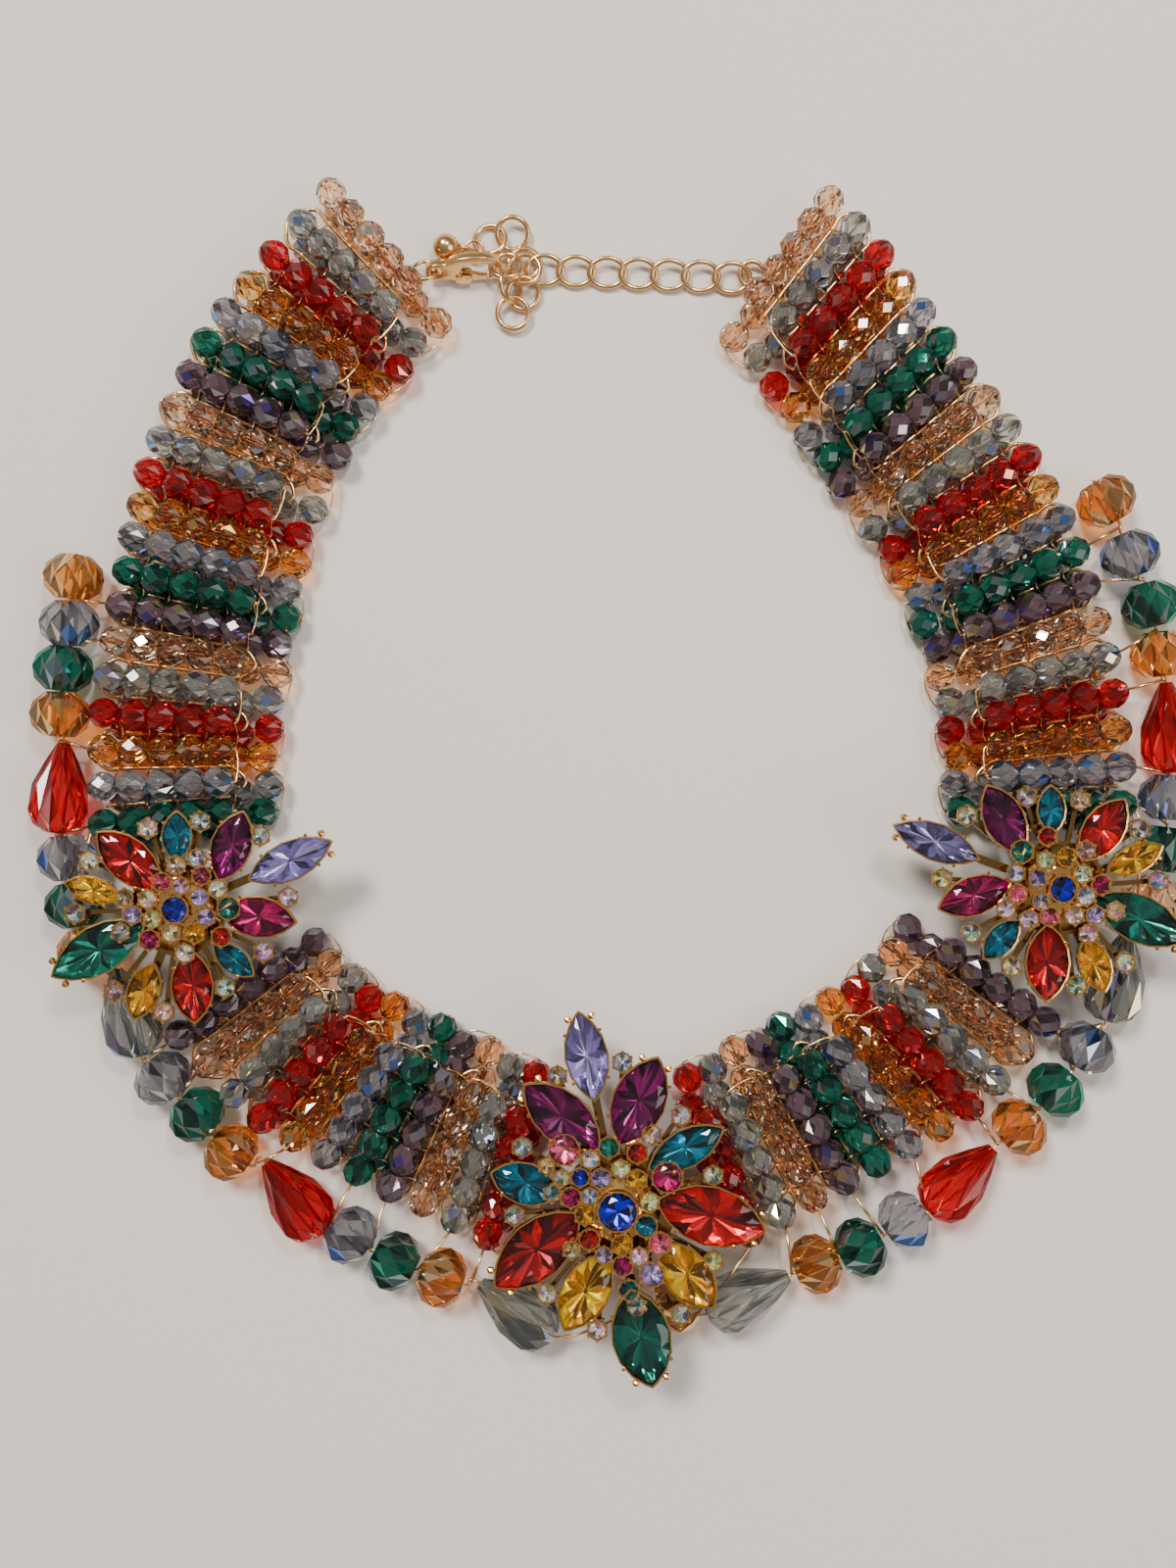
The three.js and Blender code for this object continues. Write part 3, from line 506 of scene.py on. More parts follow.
def makeBeads():
    shape = newHeap()
    addBead(shape, roundProfile(beads), beads["sides"], beads["hole"])
    source = addPiece("beadShape", heapMesh("beadShape", shape), ())
    spots = {name: [] for name in beads["order"]}
    for arm in (collar["left"], collar["right"]):
        for number in range(1, collar["rows"] + 1):
            row = rowAt(arm, number)
            upper, lower = stringsOf(row, number)
            colour = beads["order"][(number - 1) % len(beads["order"])]
            spots[colour] += [beadSpot(row, *place) for place in upper + lower]
    panels = [f"beads_{i}_{side}" for i in range(1, 6) for side in ("left", "right")]
    for seed, (name, found) in enumerate(spots.items()):
        piece = scatterPiece("beads_" + name, source, found, beadGlass[name], seed)
        finishPiece(piece, panels)
    bpy.data.objects.remove(source)
    print("beads strung:", sum(len(s) for s in spots.values()))


makeBeads()

wires = {
    "string": 0.19, "frame": 0.42, "frameZ": 5.0, "innerTurn": 11.6, "outerTurn": 18.3, "longTurn": 19.0,
    "lastLongRow": 11, "corner": 2.8, "outerBend": 18.0, "innerBend": 10.5, "lowerBend": 11,
    "pastInner": 2.9, "steps": 12, "frameSteps": 8,
    "tie": {
        "radius": 0.171, "low": 6.0, "spread": 0.3, "drift": 0.8, "over": 0.3, "under": 0.2, "aside": 0.5,
    },
}
panelRows = ((1, 7), (8, 14), (15, 20), (21, 27), (28, 31))


# Points at even steps from one place to another, so that a drawn wire stays straight between its bends.
def straight(start, end, steps):
    return [start.lerp(end, i / steps) for i in range(steps + 1)]


def upperZ(row):
    return beads["upperZ"] + row["lift"]


# One thin wire threads a row's upper string, bends round its outer end and comes back through the lower.
def stringPath(row, number):
    turn, reach, steps = wires["outerBend"], innerReach(number), wires["steps"]
    low, past = beads["lowerZ"], wires["pastInner"]
    top = straight(pointOn(row, wires["innerBend"], upperZ(row)), pointOn(row, 1 - turn, upperZ(row)), steps)
    bow = pointOn(row, -turn, (upperZ(row) + low) / 2, row["aside"] / 2)
    under = straight(pointOn(row, 1 - turn, low, row["aside"]),
                     pointOn(row, wires["lowerBend"], low, row["aside"]), steps)
    inner = [pointOn(row, along, low, beads["innerAside"]) for along in (reach - past, reach, reach + past)]
    return [*top, bow, *under, *inner]


def stringPaths(arm):
    paths = []
    for first, last in panelRows:
        path = []
        for number in range(first, last + 1):
            points = stringPath(rowAt(arm, number), number)
            path += points if (number - first) % 2 == 0 else points[::-1]
        paths.append(path)
    return paths


def framePath(arm, first, last):
    path = []
    for number in range(first, last):
        here, beyond = rowAt(arm, number), rowAt(arm, number + 1)

        def boundary(along):
            return pointOn(here, along, wires["frameZ"]).lerp(pointOn(beyond, along, wires["frameZ"]), 0.5)

        outer = -(wires["longTurn"] if number <= wires["lastLongRow"] else wires["outerTurn"])
        inner = wires["innerTurn"]
        ends = boundary(inner - wires["corner"]), boundary(outer + wires["corner"])
        run = straight(*ends, wires["frameSteps"])
        outward = (number - first) % 2 == 0
        path += run if outward else run[::-1]
        path.append(pointOn(beyond, outer if outward else inner, wires["frameZ"]))
    return path[:-1]


# Short ties cross from the neck between two beads of a row to the next row's.
def tiePaths(arm):
    tie, paths = wires["tie"], []
    for number in range(1, collar["rows"]):
        if number == collar["cornerRow"]:
            continue
        here, beyond = rowAt(arm, number), rowAt(arm, number + 1)
        for i in range(beads["upper"]):
            between = beads["firstAlong"] + (i + 0.5) * beads["pitch"]
            along = between + dice.uniform(-tie["spread"], tie["spread"])
            far = along + dice.uniform(-tie["drift"], tie["drift"])
            low = pointOn(here, along, tie["low"]).lerp(pointOn(beyond, far, tie["low"]), 0.5)
            paths.append([pointOn(here, along, upperZ(here) - tie["under"], -tie["under"]),
                          pointOn(here, along, upperZ(here) + tie["over"], tie["aside"]), low,
                          pointOn(beyond, far, upperZ(beyond) + tie["over"], -tie["aside"]),
                          pointOn(beyond, far, upperZ(beyond) - tie["under"], tie["under"])])
    return paths


def makeWires():
    arms = {side: collar[side] for side in ("left", "right")}
    levels = {"upper": (1, collar["cornerRow"]), "lower": (collar["cornerRow"] + 1, collar["rows"])}
    for level, (first, last) in levels.items():
        for side, arm in arms.items():
            path = framePath(arm, first, last)
            piece = wirePiece(f"frame_wire_{level}_{side}", [path], wires["frame"], 10, 6)
            finishPiece(piece, [f"wire_{level}_{side}"])
    for side, arm in arms.items():
        piece = wirePiece("string_wires_" + side, stringPaths(arm), wires["string"], 6, 3)
        finishPiece(piece, [])
        ties = wirePiece("row_ties_" + side, tiePaths(arm), wires["tie"]["radius"], 5, 3)
        finishPiece(ties, [])
    print("wires drawn")


makeWires()

# The direction of each drop's hole in degrees, its form and its glass, from the top of each arm downwards.
drops = {
    "radius": 6.0, "length": 8.6, "hole": 0.55, "sides": 10, "end": 0.5, "shoulder": 0.86, "shoulderAt": 0.27,
    "left": (
        (84, "round", "amber"), (87, "round", "steel"), (84, "round", "green"), (87, "round", "amber"),
        (85, "tear", "red"), (96, "round", "steel"), (100, "round", "green"), (106, "round", "amber"),
        (106, "tear", "smoke"), (128, "round", "steel"), (136, "round", "green"), (144, "round", "amber"),
        (128, "tear", "red"), (142, "round", "steel"), (152, "round", "green"), (162, "round", "amber"),
        (144, "tear", "smoke"),
    ),
    "centre": (
        (4, "round", "amber"),
    ),
    "right": (
        (122, "round", "amber"), (112, "round", "steel"), (104, "round", "green"), (96, "round", "amber"),
        (94, "tear", "red"), (86, "round", "steel"), (82, "round", "green"), (76, "round", "champagne"),
        (76, "tear", "smoke"), (60, "round", "steel"), (48, "round", "green"), (40, "round", "amber"),
        (44, "tear", "red"), (36, "round", "steel"), (28, "round", "green"), (22, "round", "amber"),
        (25, "tear", "smoke"),
    ),
    "tearProfile": ((-8.7, 2.2), (-7.2, 4.5), (-4.6, 5.8), (0.4, 5.2), (5.0, 3.3), (8.7, 1.2)),
}


def dropProfile(form):
    return drops["tearProfile"] if form == "tear" else roundProfile(drops)


def makeDrops():
    spots = []
    for part in ("left", "centre", "right"):
        for number, (angle, form, colour) in enumerate(drops[part], 1):
            node = f"drop_{part}_{number:02d}"
            low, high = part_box(node)
            middle = (low + high) / 2 / mm
            heading = Vector((math.cos(math.radians(angle)), math.sin(math.radians(angle)), 0))
            widest = max(radius for _, radius in dropProfile(form))
            middle.z = max(middle.z, widest * math.cos(math.pi / drops["sides"]))
            place = Matrix.Translation(middle) @ heading.to_track_quat("Z", "Y").to_matrix().to_4x4()
            shape = newHeap()
            addBead(shape, dropProfile(form), drops["sides"], drops["hole"], place)
            mesh = heapMesh(node, shape)
            facets = mesh.attributes.new("facet", "FLOAT", "FACE")
            facets.data.foreach_set("value", [dice.random() for _ in mesh.polygons])
            glass = beadGlass["honey" if colour == "amber" else colour]
            piece = addPiece(f"{form}_drop_{part}_{number:02d}", mesh, (glass,))
            finishPiece(piece, [node])
            half = dropProfile(form)[-1][0]
            spots.append({"part": part, "middle": middle, "heading": heading, "half": half})
    print("drops cut:", len(spots))
    return spots


dropSpots = makeDrops()


strand = {"radius": 0.3, "past": 0.4, "stayRadius": 0.28, "bow": 1.6, "dip": 0.3}


# The strand enters and leaves each drop along its hole.
def strandPath(spots):
    path = []
    for i, spot in enumerate(spots):
        travel = (spots[min(i + 1, len(spots) - 1)]["middle"] - spots[max(i - 1, 0)]["middle"])
        lead = spot["heading"] * (1 if spot["heading"].dot(travel) > 0 else -1)
        reach = spot["half"] + strand["past"]
        path += [spot["middle"] - lead * reach, spot["middle"] + lead * reach]
    return path


def makeStrand():
    parts = "left", "centre", "right"
    left, centre, right = ([s for s in dropSpots if s["part"] == part] for part in parts)
    path = strandPath(left + centre + right[::-1])
    outerEnds = [pointOn(rowAt(collar[side], number), -wires["outerTurn"], wires["frameZ"])
                 for side in ("left", "right") for number in range(1, collar["rows"] + 1)]
    stays = []
    for before, after in zip(path[1:-1:2], path[2::2]):
        middle = before.lerp(after, 0.5)
        end = min(outerEnds, key=lambda p: (p - middle).length)
        stays.append([middle - up * strand["dip"], middle.lerp(end, 0.5) + up * strand["bow"], end])
    finishPiece(wirePiece("drop_strand", [path], strand["radius"], 8, 5), [])
    finishPiece(wirePiece("drop_stays", stays, strand["stayRadius"], 6, 5), [])


makeStrand()

# Each petal: across and up from the flower's middle, length, width, direction in degrees, stone.
# Each cup: across and up, stone width, stone, level (0 on the rim, 1 on the boss).
stoneColours = {
    "ruby": (0.52, 0.0, 0.004), "emerald": (0.0, 0.22, 0.16), "teal": (0.0, 0.22, 0.31),
    "amethyst": (0.23, 0.0, 0.13), "magenta": (0.44, 0.0, 0.14), "lavender": (0.40, 0.34, 0.66),
    "citrine": (0.90, 0.47, 0.0), "cobalt": (0.0, 0.003, 0.48), "pink": (0.82, 0.15, 0.28),
    "lilac": (0.56, 0.44, 0.82), "clear": (0.95, 0.95, 0.95),
}
flowers = {
    "left": {
        "x": -82.0, "y": -23.4, "plateRadius": 9.0,
        "petals": (
            (-8.8, 9.1, 16.6, 8.4, 139, "ruby"), (0.1, 13.6, 10, 6, 90, "teal"),
            (10.3, 11.8, 14.2, 8, 71, "amethyst"), (21.3, 9.1, 17.6, 7.7, 25, "lavender"),
            (15.3, -1.5, 14.9, 8, -8, "magenta"), (10.7, -9.5, 10.1, 5.2, -38, "teal"),
            (3.0, -14.5, 14.2, 8.2, -86, "ruby"), (-6.1, -15.4, 11.5, 6.5, -109, "citrine"),
            (-14.6, -7.6, 20.6, 9.4, 210, "emerald"), (-15.7, 3.5, 11.1, 5.4, 164, "citrine"),
        ),
        "rim": (
            (-5.4, 15.1), (4.4, 16.4), (15.7, 13.7), (20.9, 2.2), (16.3, -8), (9.1, -14.7), (-2.4, -19.3),
            (-11.8, -15.4), (-19, -0.8), (-16.4, 9),
        ),
        "cluster": (
            (0, 0, 4.8, "cobalt"), (0.2, 8.2, 3.2, "aurora"), (4.1, 9.5, 3.2, "aurora"),
            (4.9, 6.3, 3.2, "pink"), (-2.5, 5.1, 3.3, "pink"), (1.1, 4.4, 3.0, "aurora"),
            (7.9, 3.8, 3.2, "aurora"), (4.6, 2.2, 3.2, "lilac"), (-9.6, 2.1, 3.0, "aurora"),
            (-5.1, 1.9, 3.2, "aurora"), (-8, -1, 3.2, "lilac"), (-4.2, -1.8, 3.0, "aurora"),
            (-10.3, -4.3, 3.0, "aurora"), (-4.8, -5.7, 3.5, "magenta"), (-0.7, -4.4, 3.2, "aurora"),
            (3.6, -4.5, 3.4, "citrine"), (8.6, -5.1, 3.4, "ruby"), (5.8, -1.4, 3.2, "lilac"),
            (9.9, 0.2, 4.0, "emerald"), (1.8, -8.2, 3.2, "clear"),
        ),
    },
    "right": {
        "x": 83.6, "y": -19.6, "plateRadius": 9.0,
        "petals": (
            (-23.3, 8.7, 17.7, 7.3, 158, "lavender"), (-10.6, 12.9, 15, 8, 117, "amethyst"),
            (-1.8, 14.8, 9.6, 5.7, 92, "teal"), (7.9, 11.0, 14.5, 8, 55, "ruby"),
            (13.9, 5.6, 11.8, 5.7, 25, "citrine"), (14.8, -5.7, 20, 9.2, -25, "emerald"),
            (6.4, -14.3, 11.1, 6.3, -69, "citrine"), (-2.5, -13.9, 14.9, 8.6, -91, "ruby"),
            (-11.2, -9.5, 10.3, 5.7, 228, "teal"), (-16.2, -1.3, 14.9, 7.7, 200, "magenta"),
        ),
        "rim": (
            (-17.5, 13.7), (-6.4, 17.2), (3.6, 16.6), (14.7, 11.1), (18.3, 1.4), (12.1, -13.8),
            (3, -18.2), (-9.2, -14.6), (-16.7, -8.3), (-22.2, 1.9),
        ),
        "cluster": (
            (0, 0, 4.8, "cobalt"), (-2.7, 9.8, 3.2, "ruby"), (-7.5, 7.0, 4.0, "emerald"),
            (-3.2, 5.4, 3.0, "aurora"), (0.8, 5.9, 3.3, "citrine"), (4.4, 7.2, 3.2, "aurora"),
            (-8.6, 2.9, 3.0, "aurora"), (-4.6, 2.0, 3.2, "lilac"), (3.8, 2.8, 3.2, "aurora"),
            (7.3, 0.8, 3.4, "magenta"), (-8.3, -0.9, 3.2, "pink"), (-4, -2.3, 3.0, "aurora"),
            (4.3, -1.3, 3.2, "aurora"), (-10.4, -3.8, 3.0, "aurora"), (-6.2, -5.7, 3.2, "aurora"),
            (-2.4, -5.1, 3.3, "pink"), (2.2, -4.9, 3.2, "aurora"), (6.2, -4.9, 3.2, "lilac"),
            (10, -4.1, 3.0, "aurora"), (4.9, -8.4, 3.2, "aurora"),
        ),
    },
    "centre": {
        "x": 0.6, "y": -79.8, "plateRadius": 11.0,
        "petals": (
            (-5.8, 28.8, 17.5, 8.4, 100.5, "lavender"), (4.0, 20.4, 18.4, 10.4, 66.5, "amethyst"),
            (-10.4, 17.5, 19.1, 9.8, 140, "amethyst"), (12.8, 11.6, 16.5, 7.4, 28.5, "teal"),
            (-17.3, 5.0, 13.9, 8.1, 162.5, "teal"), (17.5, -1.1, 21.6, 11.4, -15.5, "ruby"),
            (-15.1, -7.5, 21.5, 11.1, 221, "ruby"), (-6.0, -15.3, 16.8, 9.3, 241, "citrine"),
            (13.1, -12.2, 15.9, 9, -50.6, "citrine"), (4.5, -23.9, 19.3, 11.4, -77.5, "emerald"),
        ),
        "rim": (
            (-11.3, 25.1), (0.9, 27.7), (11.9, 17.7), (17.9, 6.5), (18, -9.6), (11.9, -19.5),
            (-3.8, -22.5), (-13.2, -15.7), (-19.3, -1), (-17.9, 11.8),
        ),
        "cluster": (
            (0, 0, 7.2, "cobalt"), (-10, 11.4, 5.6, "pink"), (9.3, 6.3, 5.5, "magenta"),
            (-1.6, 11.9, 3.6, "emerald"), (3.7, 10.9, 3.6, "ruby"), (6.4, 14.2, 3.3, "aurora"),
            (-5.1, 9.7, 3.2, "aurora"), (0.6, 7.9, 3.2, "aurora"), (-7, 6.3, 3.2, "cobalt"),
            (-3.1, 6.2, 3.5, "lilac"), (3.6, 5.9, 3.5, "citrine"), (-13.3, 8.3, 2.7, "aurora"),
            (-10.4, 6.2, 2.7, "aurora"), (-12.3, 3.3, 2.9, "aurora"), (-8.7, 2.6, 3.5, "magenta"),
            (-5.2, 2.8, 3.0, "aurora"), (-6.1, -0.6, 3.5, "citrine"), (6, 1.8, 3.3, "aurora"),
            (5.3, -2.7, 3.9, "teal"), (-5.3, -5.2, 3.6, "ruby"), (0.8, -6.2, 3.6, "citrine"),
            (7.9, -6, 3.9, "pink"), (-8.6, -7.2, 2.9, "aurora"), (-2.6, -8.2, 2.9, "lilac"),
            (0.9, -10.2, 3.6, "magenta"), (4, -8.5, 3.2, "aurora"), (6.4, -11.9, 4.4, "lilac"),
            (2.1, -14.9, 3.6, "teal"), (3.6, -17.9, 3.2, "aurora"),
        ),
    },
}
setting = {
    "plateZ": 12.1, "plateTop": 13.3, "plateSides": 32, "roundSides": 24,
    "boss": ((8.2, 13.3), (5.904, 14.8), (4.1, 15.3)),  # radius and height of each ring
    "post": ((5.0, 4.7), (5.0, 12.1)),
    "back": ((7.5, 4.65), (7.5, 5.8)),
    "petalTop": 15.2, "petalWall": 0.3, "tipWall": 0.4, "petalSides": 16, "petalSeat": 0.25,
    "petalDepth": 1.3, "petalCrown": 0.95,
    "petalArm": (1.6, 12.2, 13.1),  # width, lower and upper height of the arm under it
    "rimTop": 15.0, "rimStone": 3.3, "rimArm": (0.9, 12.3, 13.18), "rimFoot": (12.3, 13.3),
    "clusterTop": 16.7, "clusterFall": 0.075, "clusterSpread": 0.25, "footRadius": 0.7, "footBelow": 1.6,
    "cupPast": 0.55, "cupWall": 0.26, "cupSides": 14, "cupSeat": 0.15, "cupDepth": 0.85,
    "cupCrown": (0.24, 0.9), "longPetal": 17, "ball": 0.75, "prong": 0.42, "prongAt": 0.26, "claw": 0.462,
    # The walls' rings from the foot up and into the hollow: which edge, its share, its height from the top.
    "petalRings": (("outer", 0.72, -2.6), ("outer", 1, -1.2), ("outer", 1, 0), ("inner", 1, 0.05),
                   ("inner", 1, -0.9), ("inner", 0.4, -2.1)),
    "cupRings": (("outer", 0.6, -1.9), ("outer", 1, -0.6), ("outer", 1, 0), ("inner", 1, 0),
                 ("inner", 0.9, -0.8), ("inner", 0.3, -1.3)),
}
# A stone's rings: the share of its outline and the share of its crown's height or its back's depth.
cut = {
    "crown": ((0.68, 1), (0.88, 0.6), (1, 0)), "back": ((1, 0), (0.55, -0.62), (0.08, -1)),
    # Painted highlights and shade on the foil: ranges of random brightness that scale each foil facet's
    # colour, above one for bright facets.
    "paintedFacetLightAndShade": ((0.08, 0.22), (0.35, 0.6), (0.7, 1.0), (1.3, 2.0)),
    "auroraPale": 0.85, "pale": (0.4, 0.8),
}
auroraHues = ((1.0, 0.82, 0.22), (1.0, 0.45, 0.70), (0.45, 0.82, 1.0), (0.70, 1.0, 0.45), (1.0, 1.0, 0.96),
              (0.75, 0.50, 1.0), (1.0, 0.62, 0.40), (1.0, 0.90, 0.45))


# A pointed leaf outline of two equal arcs, or a circle when length and width are the same.
def leafPoint(length, width, angle):
    x = math.cos(angle) * length / 2
    if abs(length - width) < 0.01:
        return Vector((x, math.sin(angle) * width / 2, 0))
    arc = (length * length + width * width) / (4 * width)
    y = math.sqrt(max(arc * arc - x * x, 0)) - (arc - width / 2)
    return Vector((x, math.copysign(max(y, 0), math.sin(angle)), 0))


def leafRing(length, width, z, sides, turn=0.0):
    return [leafPoint(length, width, (j + turn) * math.tau / sides) + up * z for j in range(sides)]


def capped(rings, sides):
    count = len(rings)
    faces = []
    for i in range(count - 1):
        low, high = i * sides, (i + 1) * sides
        faces += [(low + j, low + (j + 1) % sides, high + (j + 1) % sides, high + j) for j in range(sides)]
    return faces + [tuple(range(sides)), tuple(range((count - 1) * sides, count * sides))]


def addTower(heap, rings, place):
    sides = len(rings[0])
    addShape(heap, [place @ p for ring in rings for p in ring], capped(rings, sides))


# A round tower: radius and height of each ring.
def addRound(heap, place, sides, levels):
    addTower(heap, [leafRing(2 * radius, 2 * radius, z, sides) for radius, z in levels], place)


def addBall(heap, at, radius, sides=8, rows=4):
    rings = [[Vector((math.cos(j * math.tau / sides) * math.sin(i * math.pi / rows),
                      math.sin(j * math.tau / sides) * math.sin(i * math.pi / rows),
                      math.cos(i * math.pi / rows))) for j in range(sides)] for i in range(1, rows)]
    points = [p * radius for ring in rings for p in ring] + [up * radius, up * -radius]
    last = (rows - 1) * sides
    faces = capped(rings, sides)[:-2]
    for j in range(sides):
        faces += [(j, (j + 1) % sides, last), (last - sides + j, last - sides + (j + 1) % sides, last + 1)]
    addShape(heap, [Vector(at) + p for p in points], faces)


def shade(colour, low, high):
    k = dice.uniform(low, high)
    return tuple(min(c * k, 1.0) for c in colour)


# A cut stone: a clear crown over a foiled back, with its girdle at the place's own zero.
def addStone(heap, length, width, sides, depth, crown, colour, place):
    points, faces, finish, tint = [], [], [], []
    for part, (rings, tall) in enumerate(((cut["crown"], crown), (cut["back"], depth))):
        first = len(points)
        for i, (share, level) in enumerate(rings):
            points += leafRing(length * share, width * share, tall * level, sides, 0.5 * (i % 2))
        cap = range(sides) if part == 0 else range(2 * sides, 3 * sides)
        new = [*latticeFaces(len(rings), sides), tuple(cap)]
        faces += [tuple(first + k for k in face) for face in new]
        finish += [part] * len(new)
    hues = dice.sample(auroraHues, 3) if colour == "aurora" else [stoneColours[colour]]
    # The foil's facets get painted highlights and shade, each its hue scaled by a random brightness.
    for part in finish:
        hue = dice.choice(hues)
        if part:
            tint.append(shade(hue, *dice.choice(cut["paintedFacetLightAndShade"])))
        else:
            pale = cut["auroraPale"] if colour == "aurora" else dice.uniform(*cut["pale"])
            tint.append(tuple(pale + (1 - pale) * c for c in hue))
    addShape(heap, [place @ p for p in points], faces, finish, tint)


def weld(mesh):
    shell = bmesh.new()
    shell.from_mesh(mesh)
    bmesh.ops.remove_doubles(shell, verts=shell.verts, dist=1e-7)
    bmesh.ops.recalc_face_normals(shell, faces=shell.faces)
    shell.to_mesh(mesh)
    shell.free()


# A hollow wall between an outer and an inner outline.
def addWall(heap, rows, outer, inner, top, sides, place):
    size = {"outer": outer, "inner": inner}
    rings = [leafRing(size[edge][0] * share, size[edge][1] * share, top + level, sides)
             for edge, share, level in rows]
    addTower(heap, rings, place)


def addPetal(gold, stones, middle, petal):
    x, y, length, width, angle, colour = petal
    place = Matrix.Translation(middle + Vector((x, y, 0))) @ Matrix.Rotation(math.radians(angle), 4, "Z")
    wall, top, sides = setting["petalWall"], setting["petalTop"], setting["petalSides"]
    inner = (length - 2 * wall - setting["tipWall"], width - 2 * wall)
    addWall(gold, setting["petalRings"], (length, width), inner, top, sides, place)
    seat = place @ Matrix.Translation(up * (top - setting["petalSeat"]))
    deep, crown, reach = setting["petalDepth"], setting["petalCrown"], setting["prongAt"]
    addStone(stones, inner[0] - 0.1, inner[1] - 0.1, sides, deep, crown, colour, seat)
    edge = leafPoint(length, width, math.acos(2 * reach)).y + 0.1
    spots = [Vector((end * reach * length, side * edge, top)) for side in (-1, 1) for end in (1, -1)]
    for spot in spots:
        addBall(gold, place @ spot, setting["prong"], 6, 3)
    if length > setting["longPetal"]:
        for side in (-1, 1):
            tip = Vector((length * 0.42, side * (width * 0.2 + 0.6), top - 0.4))
            addBall(gold, place @ tip, setting["ball"])


def addCup(gold, stones, at, top, wide, colour):
    place, outer = Matrix.Translation(at), wide + setting["cupPast"]
    inner = outer - 2 * setting["cupWall"]
    addWall(gold, setting["cupRings"], (outer, outer), (inner, inner), top, setting["cupSides"], place)
    seat = place @ Matrix.Translation(up * (top - setting["cupSeat"]))
    share, most = setting["cupCrown"]
    addStone(stones, inner, inner, 8, setting["cupDepth"], min(share * wide, most), colour, seat)
    count = 6 if wide < 4.5 else 8
    for i in range(count):
        turn = (i + 0.5) * math.tau / count
        edge = Vector((math.cos(turn), math.sin(turn), 0)) * (outer / 2 - 0.1)
        addBall(gold, at + edge + up * (top + 0.12), setting["claw"], 6, 3)


def addBar(heap, start, end, wide, low, high):
    along = (end - start).normalized()
    aside = Vector((-along.y, along.x, 0)) * wide / 2
    corners = [start + aside, start - aside, end - aside, end + aside]
    points = [Vector((c.x, c.y, z)) for z in (low, high) for c in corners]
    walls = [(i, (i + 1) % 4, (i + 1) % 4 + 4, i + 4) for i in range(4)]
    addShape(heap, points, [(0, 1, 2, 3), (4, 5, 6, 7), *walls])


def makeFlower(name, flower):
    gold, stones = newHeap(), newHeap()
    middle = Vector((flower["x"], flower["y"], 0)) + collar["shift"]
    place, foot = Matrix.Translation(middle), setting["footRadius"]
    plate = [(flower["plateRadius"], setting[level]) for level in ("plateZ", "plateTop")]
    addRound(gold, place, setting["plateSides"], plate)
    for part in ("boss", "post", "back"):
        addRound(gold, place, setting["roundSides"], setting[part])
    for petal in flower["petals"]:
        addPetal(gold, stones, middle, petal)
        addBar(gold, middle, middle + Vector((petal[0], petal[1], 0)), *setting["petalArm"])
    for x, y in flower["rim"]:
        at = middle + Vector((x, y, 0))
        addCup(gold, stones, at, setting["rimTop"], setting["rimStone"], "aurora")
        addBar(gold, middle, at, *setting["rimArm"])
        addRound(gold, Matrix.Translation(at), 8, [(foot, z) for z in setting["rimFoot"]])
    for x, y, wide, colour in flower["cluster"]:
        at = middle + Vector((x, y, 0))
        fall = setting["clusterFall"] * math.hypot(x, y) + setting["clusterSpread"] * dice.random()
        top = setting["clusterTop"] - fall
        addCup(gold, stones, at, top, wide, colour)
        rod = (foot, setting["plateTop"]), (foot, top - setting["footBelow"])
        addRound(gold, Matrix.Translation(at), 8, rod)
    goldMesh, stoneMesh = heapMesh(name + "Gold", gold), heapMesh(name + "Stones", stones)
    weld(stoneMesh)
    casting = addPiece("flower_casting_" + name, goldMesh, (goldCast,))
    paving = addPiece("flower_stones_" + name, stoneMesh, (stoneCrown, stoneFoil))
    finishPiece(casting, ["flower_" + name])
    finishPiece(paving, ["flower_" + name])


for name, flower in flowers.items():
    makeFlower(name, flower)
print("flowers set")

# Rings lie where their table says: x, y, z, radius, wire radius, turn and tip in degrees.
clasp = {
    "x": -34.45, "y": 99.95, "z": 3.45, "turn": 4, "tip": 62, "eyeHole": 1.15, "half": 0.95, "bevel": 0.28,
    "cheekIn": 0.85, "cheekOut": 1.35, "cheekBevel": 0.08, "leverHalf": 0.5, "leverBevel": 0.12,
    "pivot": (5.95, -1.95), "heel": 1.05, "heelPoints": 9, "pinHole": 0.5, "pin": 0.28, "pinPast": 0.1,
    "body": (
        (-2, -0.7), (-1.6, -1.35), (-0.8, -1.85), (0.4, -2.0), (1.4, -1.75), (2.2, -1.6), (3.4, -2.5),
        (4.6, -2.6), (4.6, -0.6), (4.9, 0.5), (5.6, 1.2), (7.4, 1.5), (9.6, 1.6), (10.8, 1.3),
        (11.5, 0.7), (11.8, -0.2), (11.6, -1.0), (11.0, -1.6), (10.1, -1.9), (10.1, -2.75), (11.3, -2.6),
        (12.2, -2.1), (12.75, -1.2), (12.95, -0.1), (12.7, 1.0), (12.1, 1.9), (11.0, 2.7), (9.4, 3.1),
        (7.4, 3.25), (5.4, 3.15), (3.6, 2.7), (2.2, 1.95), (1.3, 1.85), (0.4, 2.0), (-0.8, 1.85),
        (-1.6, 1.35), (-2, 0.7),
    ),
    "cheek": (
        (3.6, -2.5), (5.2, -2.95), (6.2, -2.9), (6.8, -2.3), (6.8, -1.6), (6.2, -1.1), (3.6, -1.2),
    ),
    "arm": (
        (8.4, -3.0), (9.75, -2.9), (9.85, -2.5), (9.75, -2.1), (8.6, -1.9), (7.2, -1.3),
    ),
    "ring": {"radius": 2.3, "wire": 0.38},
    "hooked": {"along": 13.58, "across": -0.25, "radius": 3.05, "wire": 0.52},
}
